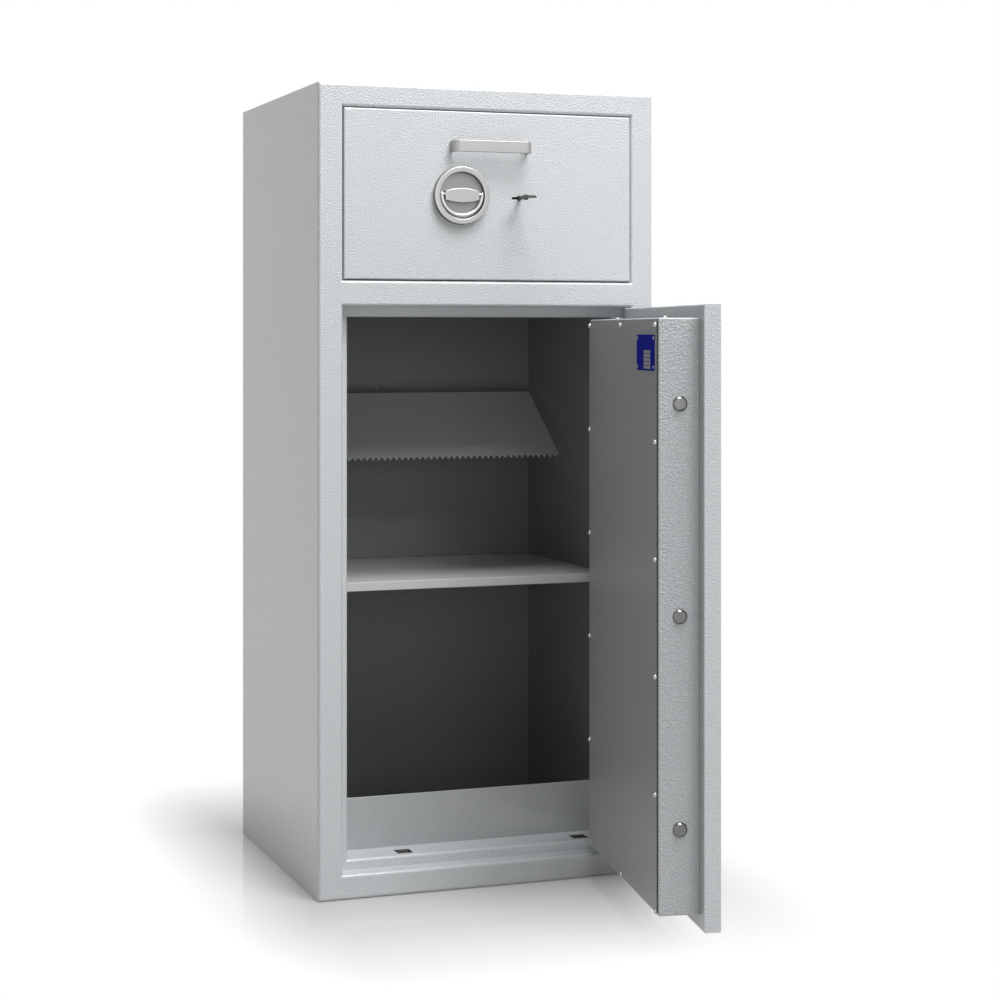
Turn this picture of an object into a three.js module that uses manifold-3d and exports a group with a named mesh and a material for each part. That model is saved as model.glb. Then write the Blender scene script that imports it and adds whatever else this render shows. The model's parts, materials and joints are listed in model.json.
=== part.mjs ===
// Drop safe with a deposit drawer above a bolted door, in millimetres.
// X runs to the right, Y to the back and Z up; the origin is the middle of the base.
// The door stands open and its bolts are drawn back; the drawer is shut and unlocked.
import * as THREE from "three";
import { mergeVertices } from "three/addons/utils/BufferGeometryUtils.js";
import Module from "manifold-3d";

// Cabinet
const width = 555;
const depth = 495;
const height = 1250;
const sheet = 3;
const sideBarrier = 28;
const backBarrier = 16;
const endBarrier = 30;

// Front frame: borders at the face, then a rolled lip into each opening
const rightBorder = 32.5;
const bottomBorder = 33;
const middleRail = 30;
const topBorder = 31;
const drawerOpening = 276;
const frameDepth = 28;
const lip = 5;

// Second step of the door opening, which holds the bolt pockets
const sideLedge = 15;
const endLedge = 16;
const rebateDepth = 60;
const rebateRound = 4;

// Door and drawer front
const panelGap = 1.5;
const panelDepth = 25;
const panelRound = 2.5;
const doorAngle = 80;

// Running and seating gaps
const seat = 0.3;
const running = 0.4;
const overrun = 1;

// Bolts of the door
const boltRadius = 10;
const boltChamfer = 2;
const boltDepth = 53;
const sideBoltShown = 4;
const endBoltShown = 3.5;
const boltLength = 25;
const slotSize = 25;

// Places that follow from the sizes above
const innerLeft = sheet + sideBarrier + sheet;
const innerRight = width - innerLeft;
const innerBack = depth - sheet - backBarrier - sheet;
const floorTop = sheet + endBarrier + sheet;
const roofUnder = height - floorTop;
const clearLeft = innerLeft + lip;
const clearRight = width - rightBorder - lip;
const drawerFaceTop = height - topBorder;
const drawerFaceBottom = drawerFaceTop - drawerOpening;
const doorFaceTop = drawerFaceBottom - middleRail;
const doorClear = [bottomBorder + lip, doorFaceTop - lip];
const drawerClear = [drawerFaceBottom + lip, drawerFaceTop - lip];
const rebateLeft = clearLeft + sideLedge;
const rebateBottom = doorClear[0] + endLedge;
const rebateTop = doorClear[1] - endLedge;
const rebateBack = frameDepth + rebateDepth;
const panelX = [clearLeft + panelGap, clearRight - panelGap];
const doorZ = [doorClear[0] + panelGap, doorClear[1] - panelGap];
const drawerZ = [drawerClear[0] + panelGap, drawerClear[1] - panelGap];
const panelMiddle = (panelX[0] + panelX[1]) / 2;

// Deck under the drawer: two skins round a barrier slab, open at the back for the drop
const deckDrop = 4;
const dropOpening = 143;
const deckTop = drawerClear[0] - deckDrop;
const deckBack = innerBack - dropOpening;
const ceilingUnder = doorFaceTop - sheet;

// Ring handle and key lock, the same on the door and on the drawer
const handleOffset = -49.25;
const keyOffset = 48.25;
const keyRise = -2;
const spindleRadius = 8;
const keyRadius = 3;
const keySlot = 24.5;
const keySlotHeight = 4;
const keyholeRadius = 4.3;
const lockGap = 2;
const lockCaseDepth = 22;
const lockCaseWidth = 70;
const lockCaseHeight = 90;
const lockWall = 2.5;
const lockDiscRadius = 28;
const lockDisc = [30, 36];
const lockBoltHeight = 12;
const lockBoltThickness = 8;
const lockBoltTail = 16;
const notchDepth = 9;
const handleX = panelMiddle + handleOffset;
const keyX = panelMiddle + keyOffset;
const doorHandleShare = 0.62;
const doorHandleZ = doorZ[0] + doorHandleShare * (doorZ[1] - doorZ[0]);
const drawerHandleZ = (drawerZ[0] + drawerZ[1]) / 2;

// Facets of the round pieces
const roundSides = 24;
const smallSides = 12;
const holeSides = 8;
const roundSteps = 4;

// Colours and finishes
const paint = { color: 0xd3d7da, roughness: 0.55, metalness: 0.0 };
const innerPaint = { color: 0x7d8083, roughness: 0.6, metalness: 0.0 };
const coverPaint = { color: 0x9a9da0, roughness: 0.5, metalness: 0.1 };
const concrete = { color: 0xa7a39b, roughness: 0.95, metalness: 0.0 };
const steel = { color: 0xb4b6b8, roughness: 0.35, metalness: 1.0 };
const zinc = { color: 0xa3a5a6, roughness: 0.45, metalness: 0.9 };
const nickel = { color: 0xb9b5ae, roughness: 0.38, metalness: 0.9 };
const darkBrass = { color: 0x4f4a42, roughness: 0.5, metalness: 0.8 };

const manifold = await Module();
manifold.setup();

// A closed geometry as a solid whose faces point outwards
function solidOf(geometry) {
  const bare = geometry.index ? geometry.toNonIndexed() : geometry.clone();
  bare.deleteAttribute("normal");
  bare.deleteAttribute("uv");
  const merged = mergeVertices(bare);
  const vertProperties = merged.attributes.position.array;
  const triVerts = new Uint32Array(merged.index.array);
  const made = new manifold.Manifold(
    new manifold.Mesh({ numProp: 3, vertProperties, triVerts }),
  );
  if (made.volume() >= 0) return made;
  triVerts.reverse();
  return new manifold.Manifold(
    new manifold.Mesh({ numProp: 3, vertProperties, triVerts }),
  );
}

function geometryOf(solid) {
  const { vertProperties, triVerts } = solid.getMesh();
  const indexed = new THREE.BufferGeometry();
  indexed.setAttribute("position", new THREE.BufferAttribute(vertProperties, 3));
  indexed.setIndex(new THREE.BufferAttribute(triVerts, 1));
  const faceted = indexed.toNonIndexed();
  faceted.computeVertexNormals();
  return faceted;
}

function join(...pieces) {
  const solids = pieces.map(solidOf);
  return geometryOf(solids.reduce((whole, piece) => whole.add(piece)));
}

function cut(body, ...tools) {
  const solids = tools.map(solidOf);
  return geometryOf(solids.reduce((rest, tool) => rest.subtract(tool), solidOf(body)));
}

function common(body, tool) {
  return geometryOf(solidOf(body).intersect(solidOf(tool)));
}

// Each span is a pair of places: where the block starts and where it ends
function block([x0, x1], [y0, y1], [z0, z1]) {
  const geometry = new THREE.BoxGeometry(x1 - x0, y1 - y0, z1 - z0);
  return geometry.translate((x0 + x1) / 2, (y0 + y1) / 2, (z0 + z1) / 2);
}

// A pair of places on both sides of a middle
function about(middle, half) {
  return [middle - half, middle + half];
}

// A span drawn in or let out by a margin at both ends
function inset([low, high], margin) {
  return [low + margin, high - margin];
}

// An outline through points given as pairs
function outline(points) {
  return new THREE.Shape(points.map(([u, v]) => new THREE.Vector2(u, v)));
}

function rectangle([x0, x1], [z0, z1]) {
  return outline([[x0, z0], [x1, z0], [x1, z1], [x0, z1]]);
}

// An outline in X and Z between two depths; a round rolls its edges, front and back
function plate(shape, [front, back], round = 0) {
  const geometry = new THREE.ExtrudeGeometry(shape, {
    depth: back - front - 2 * round,
    bevelEnabled: round > 0,
    bevelThickness: round,
    bevelSize: round,
    bevelOffset: -round,
    bevelSegments: roundSteps,
  });
  return geometry.rotateX(Math.PI / 2).translate(0, back - round, 0);
}

// A plate whose rolled edges are at the front only
function facePlate(shape, [front, back], round) {
  const whole = plate(shape, [front, back + 2 * round], round);
  const acrossX = [-overrun, width + overrun];
  const acrossZ = [-overrun, height + overrun];
  return cut(whole, block(acrossX, [back, back + 2 * round + overrun], acrossZ));
}

// An outline in Y and Z, between two places across the width
function sidePlate(points, [left, right]) {
  const geometry = new THREE.ExtrudeGeometry(outline(points), {
    depth: right - left,
    bevelEnabled: false,
  });
  return geometry.rotateX(Math.PI / 2).rotateZ(Math.PI / 2).translate(left, 0, 0);
}

// A profile of radius and place, revolved round an axis through two crosswise places
function turned(axis, [a, b], profile, sides = roundSides) {
  const points = profile.map(([radius, place]) => new THREE.Vector2(radius, place));
  const geometry = new THREE.LatheGeometry(points, sides);
  if (axis === "x") return geometry.rotateZ(-Math.PI / 2).translate(0, a, b);
  if (axis === "y") return geometry.translate(a, 0, b);
  return geometry.rotateX(Math.PI / 2).translate(a, b, 0);
}

function rod(axis, [start, end], at, radius, chamfer = 0, sides = roundSides) {
  const profile = [[0, start]];
  if (chamfer > 0) profile.push([radius - chamfer, start]);
  profile.push([radius, start + chamfer]);
  profile.push([radius, end - chamfer]);
  if (chamfer > 0) profile.push([radius - chamfer, end]);
  profile.push([0, end]);
  return turned(axis, at, profile, sides);
}

// A hole whose flats clear a round pin of the given radius
function bore(axis, span, at, radius, sides = roundSides) {
  return rod(axis, span, at, radius / Math.cos(Math.PI / sides), 0, sides);
}

function add(group, name, geometry, finish) {
  const mesh = new THREE.Mesh(join(geometry), new THREE.MeshStandardMaterial(finish));
  mesh.name = name;
  group.add(mesh);
}

const safe = new THREE.Group();
safe.position.set(-width / 2, -depth / 2, 0);

// Front frame: one welded frame with both openings, all its front edges rolled
function addFrontFrame() {
  const face = rectangle([0, width], [0, height]);
  face.holes.push(rectangle([clearLeft, clearRight], doorClear));
  face.holes.push(rectangle([clearLeft, clearRight], drawerClear));
  add(safe, "front_frame", facePlate(face, [0, frameDepth], lip), paint);
}

// Second step of the door opening, cut into four bars; three hold the bolt pockets
const sideBoltShare = 0.356;
const endBoltShares = [0.2, 0.869];
const pocketFloor = 3;
const boxSideGap = 9.5;
const boxTopGap = 4;
const boxBottomGap = 5;
const boxHingeGap = 11.5;
const boxX = [rebateLeft + boxSideGap, clearRight - boxHingeGap];
const boxZ = [rebateBottom + boxBottomGap, rebateTop - boxTopGap];
const boxMiddleZ = (boxZ[0] + boxZ[1]) / 2;
const sideBoltPitch = sideBoltShare * (boxZ[1] - boxZ[0]);
const sideBoltZ = [-1, 0, 1].map((step) => boxMiddleZ + step * sideBoltPitch);
const endBoltX = endBoltShares.map((share) => boxX[0] + share * (boxX[1] - boxX[0]));
const barLeft = innerLeft - sheet;
const barRight = innerRight + sheet;
const barBottom = sheet + endBarrier;
const barTop = deckTop - sheet;

function addRebateBars() {
  const wider = -2 * rebateRound;
  const barX = [barLeft, barRight];
  const stepped = rectangle(inset(barX, wider), inset([barBottom, barTop], wider));
  stepped.holes.push(rectangle([rebateLeft, clearRight], [rebateBottom, rebateTop]));
  const whole = facePlate(stepped, [frameDepth, rebateBack], rebateRound);
  const slotY = about(boltDepth, slotSize / 2);
  const acrossY = [frameDepth - overrun, rebateBack + overrun];
  const between = [rebateBottom, rebateTop];
  const sidePockets = sideBoltZ.map((z) =>
    block([barLeft + pocketFloor, rebateLeft + overrun], slotY, about(z, slotSize / 2)),
  );
  const bottomPockets = endBoltX.map((x) =>
    block(about(x, slotSize / 2), slotY, [barBottom + pocketFloor, rebateBottom + overrun]),
  );
  const topPockets = endBoltX.map((x) =>
    block(about(x, slotSize / 2), slotY, [rebateTop - overrun, doorFaceTop]),
  );
  const leftBar = common(whole, block([barLeft, rebateLeft], acrossY, between));
  const rightBar = common(whole, block([clearRight, barRight], acrossY, between));
  const bottomBar = common(whole, block(barX, acrossY, [barBottom, rebateBottom]));
  const topBar = common(whole, block(barX, acrossY, [rebateTop, barTop]));
  add(safe, "bolt_strike_left", cut(leftBar, ...sidePockets), paint);
  add(safe, "rebate_bar_right", rightBar, paint);
  add(safe, "bolt_strike_bottom", cut(bottomBar, ...bottomPockets), paint);
  add(safe, "bolt_strike_top", cut(topBar, ...topPockets), paint);
}

// Drawer bolts: they shoot sideways behind the frame, into pockets of liner and barrier
const drawerBoltRadius = 8;
const drawerBoltDepth = 46;
const drawerBoltDrop = 96;
const drawerBoltLength = 34;
const drawerPocketDepth = 15;
const drawerBoltZ = drawerHandleZ - drawerBoltDrop;
const drawerSlotY = about(drawerBoltDepth, slotSize / 2);
const drawerSlotZ = about(drawerBoltZ, slotSize / 2);

// Outer steel wrap, back sheet and the barrier between the two skins
function addShell() {
  const wrap = rectangle([0, width], [0, height]);
  const insideX = inset([0, width], sheet);
  const insideZ = inset([0, height], sheet);
  wrap.holes.push(rectangle(insideX, insideZ));
  add(safe, "outer_casing", plate(wrap, [frameDepth, depth]), paint);
  const backY = [depth - sheet, depth];
  add(safe, "back_panel", block(insideX, backY, insideZ), paint);

  const whole = block(insideX, [frameDepth, depth - sheet], insideZ);
  const hollow = block(
    [barLeft, barRight],
    [frameDepth - overrun, innerBack + sheet],
    [barBottom, height - barBottom],
  );
  const left = block([barLeft - drawerPocketDepth, barLeft + overrun], drawerSlotY, drawerSlotZ);
  const right = block([barRight - overrun, barRight + drawerPocketDepth], drawerSlotY, drawerSlotZ);
  add(safe, "barrier_fill", cut(whole, hollow, left, right), concrete);
}

// Shelf and the pegs that carry it, in rows of holes in both side walls
const shelfShare = 0.4983;
const shelfSheet = 2;
const shelfFront = 110;
const shelfBackGap = 6;
const shelfSideGap = 1;
const shelfFrontFlange = 14;
const shelfSideFlange = 9.5;
const pegRadius = 4;
const pegShank = 3;
const pegHead = 10;
const pegFrontInset = 25;
const pegBackInset = 42;
const pegPitch = 45;
const pegRowsEachWay = 5;
const pegHoleRadius = 3.4;
const shelfTop = floorTop + shelfShare * (ceilingUnder - floorTop);
const pegZ = shelfTop - shelfSideFlange - pegRadius;
const pegRowY = [shelfFront + pegFrontInset, innerBack - shelfBackGap - pegBackInset];

// Inner skin, as flat panels; the side walls reach forward beside the drawer
function addLiner() {
  const side = [
    [rebateBack, barBottom],
    [innerBack + sheet, barBottom],
    [innerBack + sheet, roofUnder],
    [frameDepth, roofUnder],
    [frameDepth, barTop],
    [rebateBack, barTop],
  ];
  const pegHoles = [];
  const across = [barLeft - overrun, barRight + overrun];
  for (const y of pegRowY) {
    for (let row = -pegRowsEachWay; row <= pegRowsEachWay; row += 1) {
      const at = [y, pegZ + row * pegPitch];
      pegHoles.push(bore("x", across, at, pegHoleRadius, holeSides));
    }
  }
  const boltSlot = block(across, drawerSlotY, drawerSlotZ);
  const left = sidePlate(side, [barLeft, innerLeft]);
  const right = sidePlate(side, [innerRight, barRight]);
  const insideX = [innerLeft, innerRight];
  const skinY = [innerBack, innerBack + sheet];
  const roofX = [barLeft, barRight];
  const roofY = [frameDepth, innerBack + sheet];
  add(safe, "liner_left", cut(left, boltSlot, ...pegHoles), innerPaint);
  add(safe, "liner_right", cut(right, boltSlot, ...pegHoles), innerPaint);
  add(safe, "liner_back", block(insideX, skinY, [barBottom, roofUnder]), innerPaint);
  add(safe, "liner_floor", block(insideX, [rebateBack, innerBack], [barBottom, floorTop]), innerPaint);
  add(safe, "liner_roof", block(roofX, roofY, [roofUnder, roofUnder + sheet]), innerPaint);
}

// Upright panel behind the door sill
const sillHeight = 100;

function addSillPanel() {
  const spanY = [rebateBack, rebateBack + sheet];
  const spanZ = [floorTop, floorTop + sillHeight];
  add(safe, "sill_panel", block([innerLeft, innerRight], spanY, spanZ), paint);
}

// Deck under the drawer: a folded skin round its own barrier slab
function addDeck() {
  const insideX = [innerLeft, innerRight];
  const skin = [
    [frameDepth, barTop],
    [deckBack, barTop],
    [deckBack, doorFaceTop],
    [rebateBack, doorFaceTop],
    [rebateBack, ceilingUnder],
    [deckBack + sheet, ceilingUnder],
    [deckBack + sheet, deckTop],
    [frameDepth, deckTop],
  ];
  add(safe, "drawer_deck", sidePlate(skin, insideX), innerPaint);
  const slabY = [rebateBack, deckBack];
  add(safe, "deck_fill", block(insideX, slabY, [doorFaceTop, barTop]), concrete);
}

// Chute plate: screwed to the back wall, it slopes forward and ends in hooked teeth
const chuteDrop = 130.5;
const chuteFlange = 19.5;
const chuteRun = 158;
const chuteFall = 109;
const chuteSheet = 2;
const chuteSideGap = 0.5;
const toothPitch = 10.2;
const toothHeight = 6;
const toothShares = [0.15, 0.75];

function addChutePlate() {
  const spanX = inset([innerLeft, innerRight], chuteSideGap);
  const flangeTop = ceilingUnder - chuteDrop;
  const fold = flangeTop - chuteFlange;
  const flangeY = [innerBack - chuteSheet, innerBack];
  const length = Math.hypot(chuteRun, chuteFall);
  const teeth = Math.floor((spanX[1] - spanX[0]) / toothPitch);
  const pitch = (spanX[1] - spanX[0]) / teeth;
  const root = length - toothHeight;
  const points = [[spanX[0], 0]];
  for (let tooth = 0; tooth < teeth; tooth += 1) {
    const start = spanX[0] + tooth * pitch;
    points.push([start, root]);
    points.push([start + toothShares[0] * pitch, length]);
    points.push([start + toothShares[1] * pitch, root]);
  }
  points.push([spanX[1], root], [spanX[1], 0]);
  const slope = new THREE.ExtrudeGeometry(outline(points), {
    depth: chuteSheet,
    bevelEnabled: false,
  });
  slope.rotateX(Math.PI + Math.atan2(chuteFall, chuteRun));
  slope.translate(0, innerBack - chuteSheet, fold + chuteSheet);
  const flange = block(spanX, flangeY, [fold, flangeTop]);
  add(safe, "chute_plate", join(flange, slope), innerPaint);
}

function addShelf() {
  const spanX = inset([innerLeft, innerRight], shelfSideGap);
  const spanY = [shelfFront, innerBack - shelfBackGap];
  const sideZ = [shelfTop - shelfSideFlange, shelfTop];
  const top = block(spanX, spanY, [shelfTop - shelfSheet, shelfTop]);
  const frontY = [shelfFront, shelfFront + shelfSheet];
  const backY = [spanY[1] - shelfSheet, spanY[1]];
  const front = block(spanX, frontY, [shelfTop - shelfFrontFlange, shelfTop]);
  const back = block(spanX, backY, sideZ);
  const left = block([spanX[0], spanX[0] + shelfSheet], spanY, sideZ);
  const right = block([spanX[1] - shelfSheet, spanX[1]], spanY, sideZ);
  add(safe, "shelf", join(top, front, back, left, right), paint);
}

function addPegs() {
  const sides = [
    ["left", innerLeft, 1],
    ["right", innerRight, -1],
  ];
  const rows = ["front", "back"];
  for (const [side, face, inward] of sides) {
    rows.forEach((row, index) => {
      const at = [pegRowY[index], pegZ];
      const shank = [face - inward * sheet, face].sort((a, b) => a - b);
      const head = [face, face + inward * pegHead].sort((a, b) => a - b);
      const shankRod = rod("x", inset(shank, -seat / 2), at, pegShank, 0, smallSides);
      const room = block([barLeft, barRight], about(at[0], pegRadius), about(at[1], pegRadius));
      const trimmed = common(shankRod, room);
      const headRod = rod("x", head, at, pegRadius, 0, smallSides);
      add(safe, `shelf_peg_${side}_${row}`, join(trimmed, headRod), zinc);
    });
  }
}

// Hinges: a lift-off pair, its pin standing in the lower knuckle on the frame
const hingeRadius = 8;
const hingePin = 4;
const knuckleHeight = 36;
const hingeFaceGap = 0.5;
const leafThickness = 4;
const leafReach = 36;
const hingeOffset = 16.5;
const hingeX = clearRight + hingeOffset;
const hingeY = -(hingeRadius + hingeFaceGap);
const hingeShares = [0.16, 0.84];

function addHinges(door) {
  const ends = ["lower", "upper"];
  ends.forEach((end, index) => {
    const middle = doorZ[0] + hingeShares[index] * (doorZ[1] - doorZ[0]);
    const at = [hingeX, hingeY];
    const low = [middle - knuckleHeight, middle - seat];
    const high = [middle + seat, middle + knuckleHeight];
    const barrel = rod("z", low, at, hingeRadius);
    const foot = block(about(hingeX, hingeRadius), [hingeY, 0], low);
    const pinSpan = [middle - hingeRadius, middle + knuckleHeight - hingePin];
    const pin = rod("z", pinSpan, at, hingePin, boltChamfer / 2);
    add(safe, `frame_hinge_${end}`, join(barrel, foot, pin), paint);

    const knuckle = rod("z", high, at, hingeRadius);
    const leafX = [panelX[1] - leafReach, hingeX];
    const leaf = block(leafX, [-leafThickness - seat, -seat], high);
    const pinHole = bore("z", [middle - overrun, high[1] - hingePin / 2], at, hingePin + running);
    add(door, `door_hinge_${end}`, cut(join(knuckle, leaf), pinHole), paint);
  });
}

// Keyhole cut: a round hole with a level slot across it
function keyhole([front, back], z, radius) {
  const span = [front - overrun, back + overrun];
  const slot = block(about(keyX, keySlot / 2), span, about(z, keySlotHeight / 2));
  return join(slot, bore("y", span, [keyX, z], radius, smallSides));
}

// A panel of the door or drawer, drilled for the handle spindle and the key
function lockedPanel(spanX, spanZ, handleZ) {
  const slab = facePlate(rectangle(spanX, spanZ), [0, panelDepth], panelRound);
  const through = [-overrun, panelDepth + overrun];
  const spindleHole = bore("y", through, [handleX, handleZ], spindleRadius + running);
  return cut(slab, spindleHole, keyhole([0, panelDepth], handleZ + keyRise, keyholeRadius));
}

// Ring handle: a fixed rose round a turning hub, with a bail folded down in the recess
const roseRadius = 44.5;
const roseInner = 36.5;
const roseDepth = 10;
const roseChamfer = 1.5;
const hubRadius = 36;
const hubFace = 2;
const bridgeHalf = 28;
const bridgeHalfHeight = 11.5;
const bridgeEndHalf = 7;
const bailRadius = 33;
const bailRod = 2.5;
const bailPin = 2;
const bailPinReach = 4;
const bailRise = 2;
const bailDepth = 6;
const spindleEnd = 60;
const camRadius = 22;
const camDepth = 6;

class HalfRing extends THREE.Curve {
  getPoint(share, target = new THREE.Vector3()) {
    const angle = Math.PI * (1 + share);
    return target.set(bailRadius * Math.cos(angle), 0, bailRadius * Math.sin(angle));
  }
}

// The bridge across the hub: two shallow arcs between straight-cut ends
function bridgeOutline(z) {
  const rise = bridgeHalfHeight - bridgeEndHalf;
  const radius = (bridgeHalf ** 2 + rise ** 2) / (2 * rise);
  const sweep = Math.asin(bridgeHalf / radius);
  const shape = new THREE.Shape();
  const middle = bridgeHalfHeight - radius;
  shape.absarc(handleX, z + middle, radius, Math.PI / 2 - sweep, Math.PI / 2 + sweep, false);
  shape.absarc(handleX, z - middle, radius, Math.PI * 1.5 - sweep, Math.PI * 1.5 + sweep, false);
  return shape;
}

function rose(z) {
  const profile = [
    [roseInner, -seat],
    [roseRadius, -seat],
    [roseRadius, roseChamfer - roseDepth],
    [roseRadius - roseChamfer, -roseDepth],
    [roseInner + roseChamfer, -roseDepth],
    [roseInner, roseChamfer - roseDepth],
    [roseInner, -seat],
  ];
  return turned("y", [handleX, z], profile, roundSides * 2);
}

// Hub, spindle, locking disc with two notches and drive cam turn as one piece
function hub(z) {
  const at = [handleX, z];
  const discMiddle = (lockDisc[0] + lockDisc[1]) / 2;
  const face = rod("y", [-hubFace, -seat], at, hubRadius, 0, roundSides * 2);
  const bridge = plate(bridgeOutline(z), [-roseDepth, -hubFace / 2]);
  const spindle = rod("y", [-hubFace / 2, spindleEnd], at, spindleRadius);
  const disc = rod("y", lockDisc, at, lockDiscRadius);
  const cam = rod("y", [spindleEnd - camDepth, spindleEnd], at, camRadius);
  const notchHalf = lockBoltHeight / 2 + running;
  const notchY = about(discMiddle, lockBoltThickness);
  const reach = [lockDiscRadius - notchDepth, lockDiscRadius + overrun];
  const sideReach = [handleX + reach[0], handleX + reach[1]];
  const lowReach = [z - reach[1], z - reach[0]];
  const sideNotch = block(sideReach, notchY, about(z + keyRise, notchHalf));
  const lowNotch = block(about(handleX + keyRise, notchHalf), notchY, lowReach);
  const pivot = [-bailDepth, z + bailRise];
  const pinHoles = [-1, 1].map((side) => {
    const ends = [
      handleX + side * (bridgeHalf - bailPinReach - seat),
      handleX + side * (bridgeHalf + overrun),
    ];
    return bore("x", ends.sort((a, b) => a - b), pivot, bailPin + running, smallSides);
  });
  return cut(join(face, bridge, spindle, disc, cam), sideNotch, lowNotch, ...pinHoles);
}

function bail(z) {
  const section = new THREE.Shape();
  section.absarc(0, 0, bailRod, 0, Math.PI * 2);
  const ring = new THREE.ExtrudeGeometry(section, {
    steps: smallSides + roundSteps,
    curveSegments: holeSides / 2,
    bevelEnabled: false,
    extrudePath: new HalfRing(),
  });
  ring.translate(handleX, -bailDepth, z + bailRise);
  const pivot = [-bailDepth, z + bailRise];
  const pins = [-1, 1].map((side) => {
    const ends = [
      handleX + side * (bridgeHalf - bailPinReach),
      handleX + side * (bailRadius + bailRod),
    ];
    return rod("x", ends.sort((a, b) => a - b), pivot, bailPin, 0, smallSides);
  });
  const ears = [-1, 1].map((side) => {
    const at = [handleX + side * bailRadius, -bailDepth];
    return rod("z", [z + bailRise - seat, z + bailRise + bailRod], at, bailRod, 0, smallSides);
  });
  return join(ring, ...pins, ...ears);
}

// Lock case: a hollow box, open for the key in front and for its bolt at the side
const lockCaseY = [panelDepth + seat, panelDepth + lockCaseDepth];

function lockCase(z) {
  const middle = z + keyRise;
  const spanX = about(keyX, lockCaseWidth / 2);
  const spanZ = about(middle, lockCaseHeight / 2);
  const shell = block(spanX, lockCaseY, spanZ);
  const hollow = block(inset(spanX, lockWall), inset(lockCaseY, lockWall), inset(spanZ, lockWall));
  const mouthX = [spanX[0] - overrun, spanX[0] + lockWall + overrun];
  const discMiddle = (lockDisc[0] + lockDisc[1]) / 2;
  const mouthY = about(discMiddle, lockBoltThickness / 2 + running);
  const mouth = block(mouthX, mouthY, about(middle, lockBoltHeight / 2 + running));
  const front = [lockCaseY[0], lockCaseY[0] + lockWall];
  return cut(shell, hollow, mouth, keyhole(front, middle, keyRadius + running));
}

function lockBolt(z) {
  const tip = handleX + lockDiscRadius + lockGap;
  const spanX = [tip, keyX - lockCaseWidth / 2 + lockBoltTail];
  const discMiddle = (lockDisc[0] + lockDisc[1]) / 2;
  const spanZ = about(z + keyRise, lockBoltHeight / 2);
  return block(spanX, about(discMiddle, lockBoltThickness / 2), spanZ);
}

// Door: slab, bolt box, cover, handle and lock, hung open on its hinges
const coverSheet = 1.5;
const boxDepth = 60.5;
const barThickness = 6;
const barWidth = 30;
const barEnd = 20;
const strapHalf = 10;
const strapY = [64, 68];
const boxBack = panelDepth + boxDepth;
const barY = about(boltDepth, barWidth / 2);

function addDoor(door) {
  add(door, "door_slab", lockedPanel(panelX, doorZ, doorHandleZ), paint);

  const walls = rectangle(boxX, boxZ);
  walls.holes.push(rectangle(inset(boxX, sheet), inset(boxZ, sheet)));
  const boxY = [panelDepth + seat, boxBack - coverSheet - seat];
  const clear = boltRadius + running;
  const wallLeft = [boxX[0] - overrun, boxX[0] + sheet + overrun];
  const wallTop = [boxZ[1] - sheet - overrun, boxZ[1] + overrun];
  const wallBottom = [boxZ[0] - overrun, boxZ[0] + sheet + overrun];
  const holes = [
    ...sideBoltZ.map((z) => bore("x", wallLeft, [boltDepth, z], clear)),
    ...endBoltX.map((x) => bore("z", wallTop, [x, boltDepth], clear)),
    ...endBoltX.map((x) => bore("z", wallBottom, [x, boltDepth], clear)),
  ];
  add(door, "door_bolt_box", cut(plate(walls, boxY), ...holes), paint);
  const coverY = [boxBack - coverSheet, boxBack];
  add(door, "door_cover", block(boxX, coverY, boxZ), coverPaint);
  add(door, "door_handle_rose", rose(doorHandleZ), nickel);
  add(door, "door_handle_hub", hub(doorHandleZ), nickel);
  add(door, "door_handle_bail", bail(doorHandleZ), nickel);
  add(door, "door_lock_case", lockCase(doorHandleZ), zinc);
  add(door, "door_lock_bolt", lockBolt(doorHandleZ), zinc);
}

// Side bolts stand on an upright bar, whose arm reaches the cam
function addSideBolts(door) {
  const tip = boxX[0] - sideBoltShown;
  const root = tip + boltLength;
  const names = ["lower", "middle", "upper"];
  sideBoltZ.forEach((z, index) => {
    const bolt = rod("x", [tip, root], [boltDepth, z], boltRadius, boltChamfer);
    add(door, `side_bolt_${names[index]}`, bolt, steel);
  });
  const barX = [root + seat, root + seat + barThickness];
  const barZ = [sideBoltZ[0] - barEnd, sideBoltZ[2] + barEnd];
  const armX = [barX[0], handleX - camRadius - barEnd];
  const bar = block(barX, barY, barZ);
  const arm = block(armX, strapY, about(doorHandleZ, strapHalf));
  add(door, "side_bolt_bar", join(bar, arm), zinc);
}

// Top and bottom bolts stand on level bars, whose straps run to the cam
function addEndBolts(door, end, wall, outward) {
  const tip = wall + outward * endBoltShown;
  const root = tip - outward * boltLength;
  const names = ["near", "far"];
  endBoltX.forEach((x, index) => {
    const span = [tip, root].sort((a, b) => a - b);
    const bolt = rod("z", span, [x, boltDepth], boltRadius, boltChamfer);
    add(door, `${end}_bolt_${names[index]}`, bolt, steel);
  });
  const barFace = root - outward * seat;
  const barInner = barFace - outward * barThickness;
  const barX = [endBoltX[0] - barEnd, endBoltX[1] + barEnd];
  const barZ = [barFace, barInner].sort((a, b) => a - b);
  const strapZ = [barFace, doorHandleZ + outward * (camRadius + barEnd)].sort((a, b) => a - b);
  const bar = block(barX, barY, barZ);
  const strap = block(about(handleX, strapHalf), strapY, strapZ);
  add(door, `${end}_bolt_bar`, join(bar, strap), zinc);
}

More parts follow.
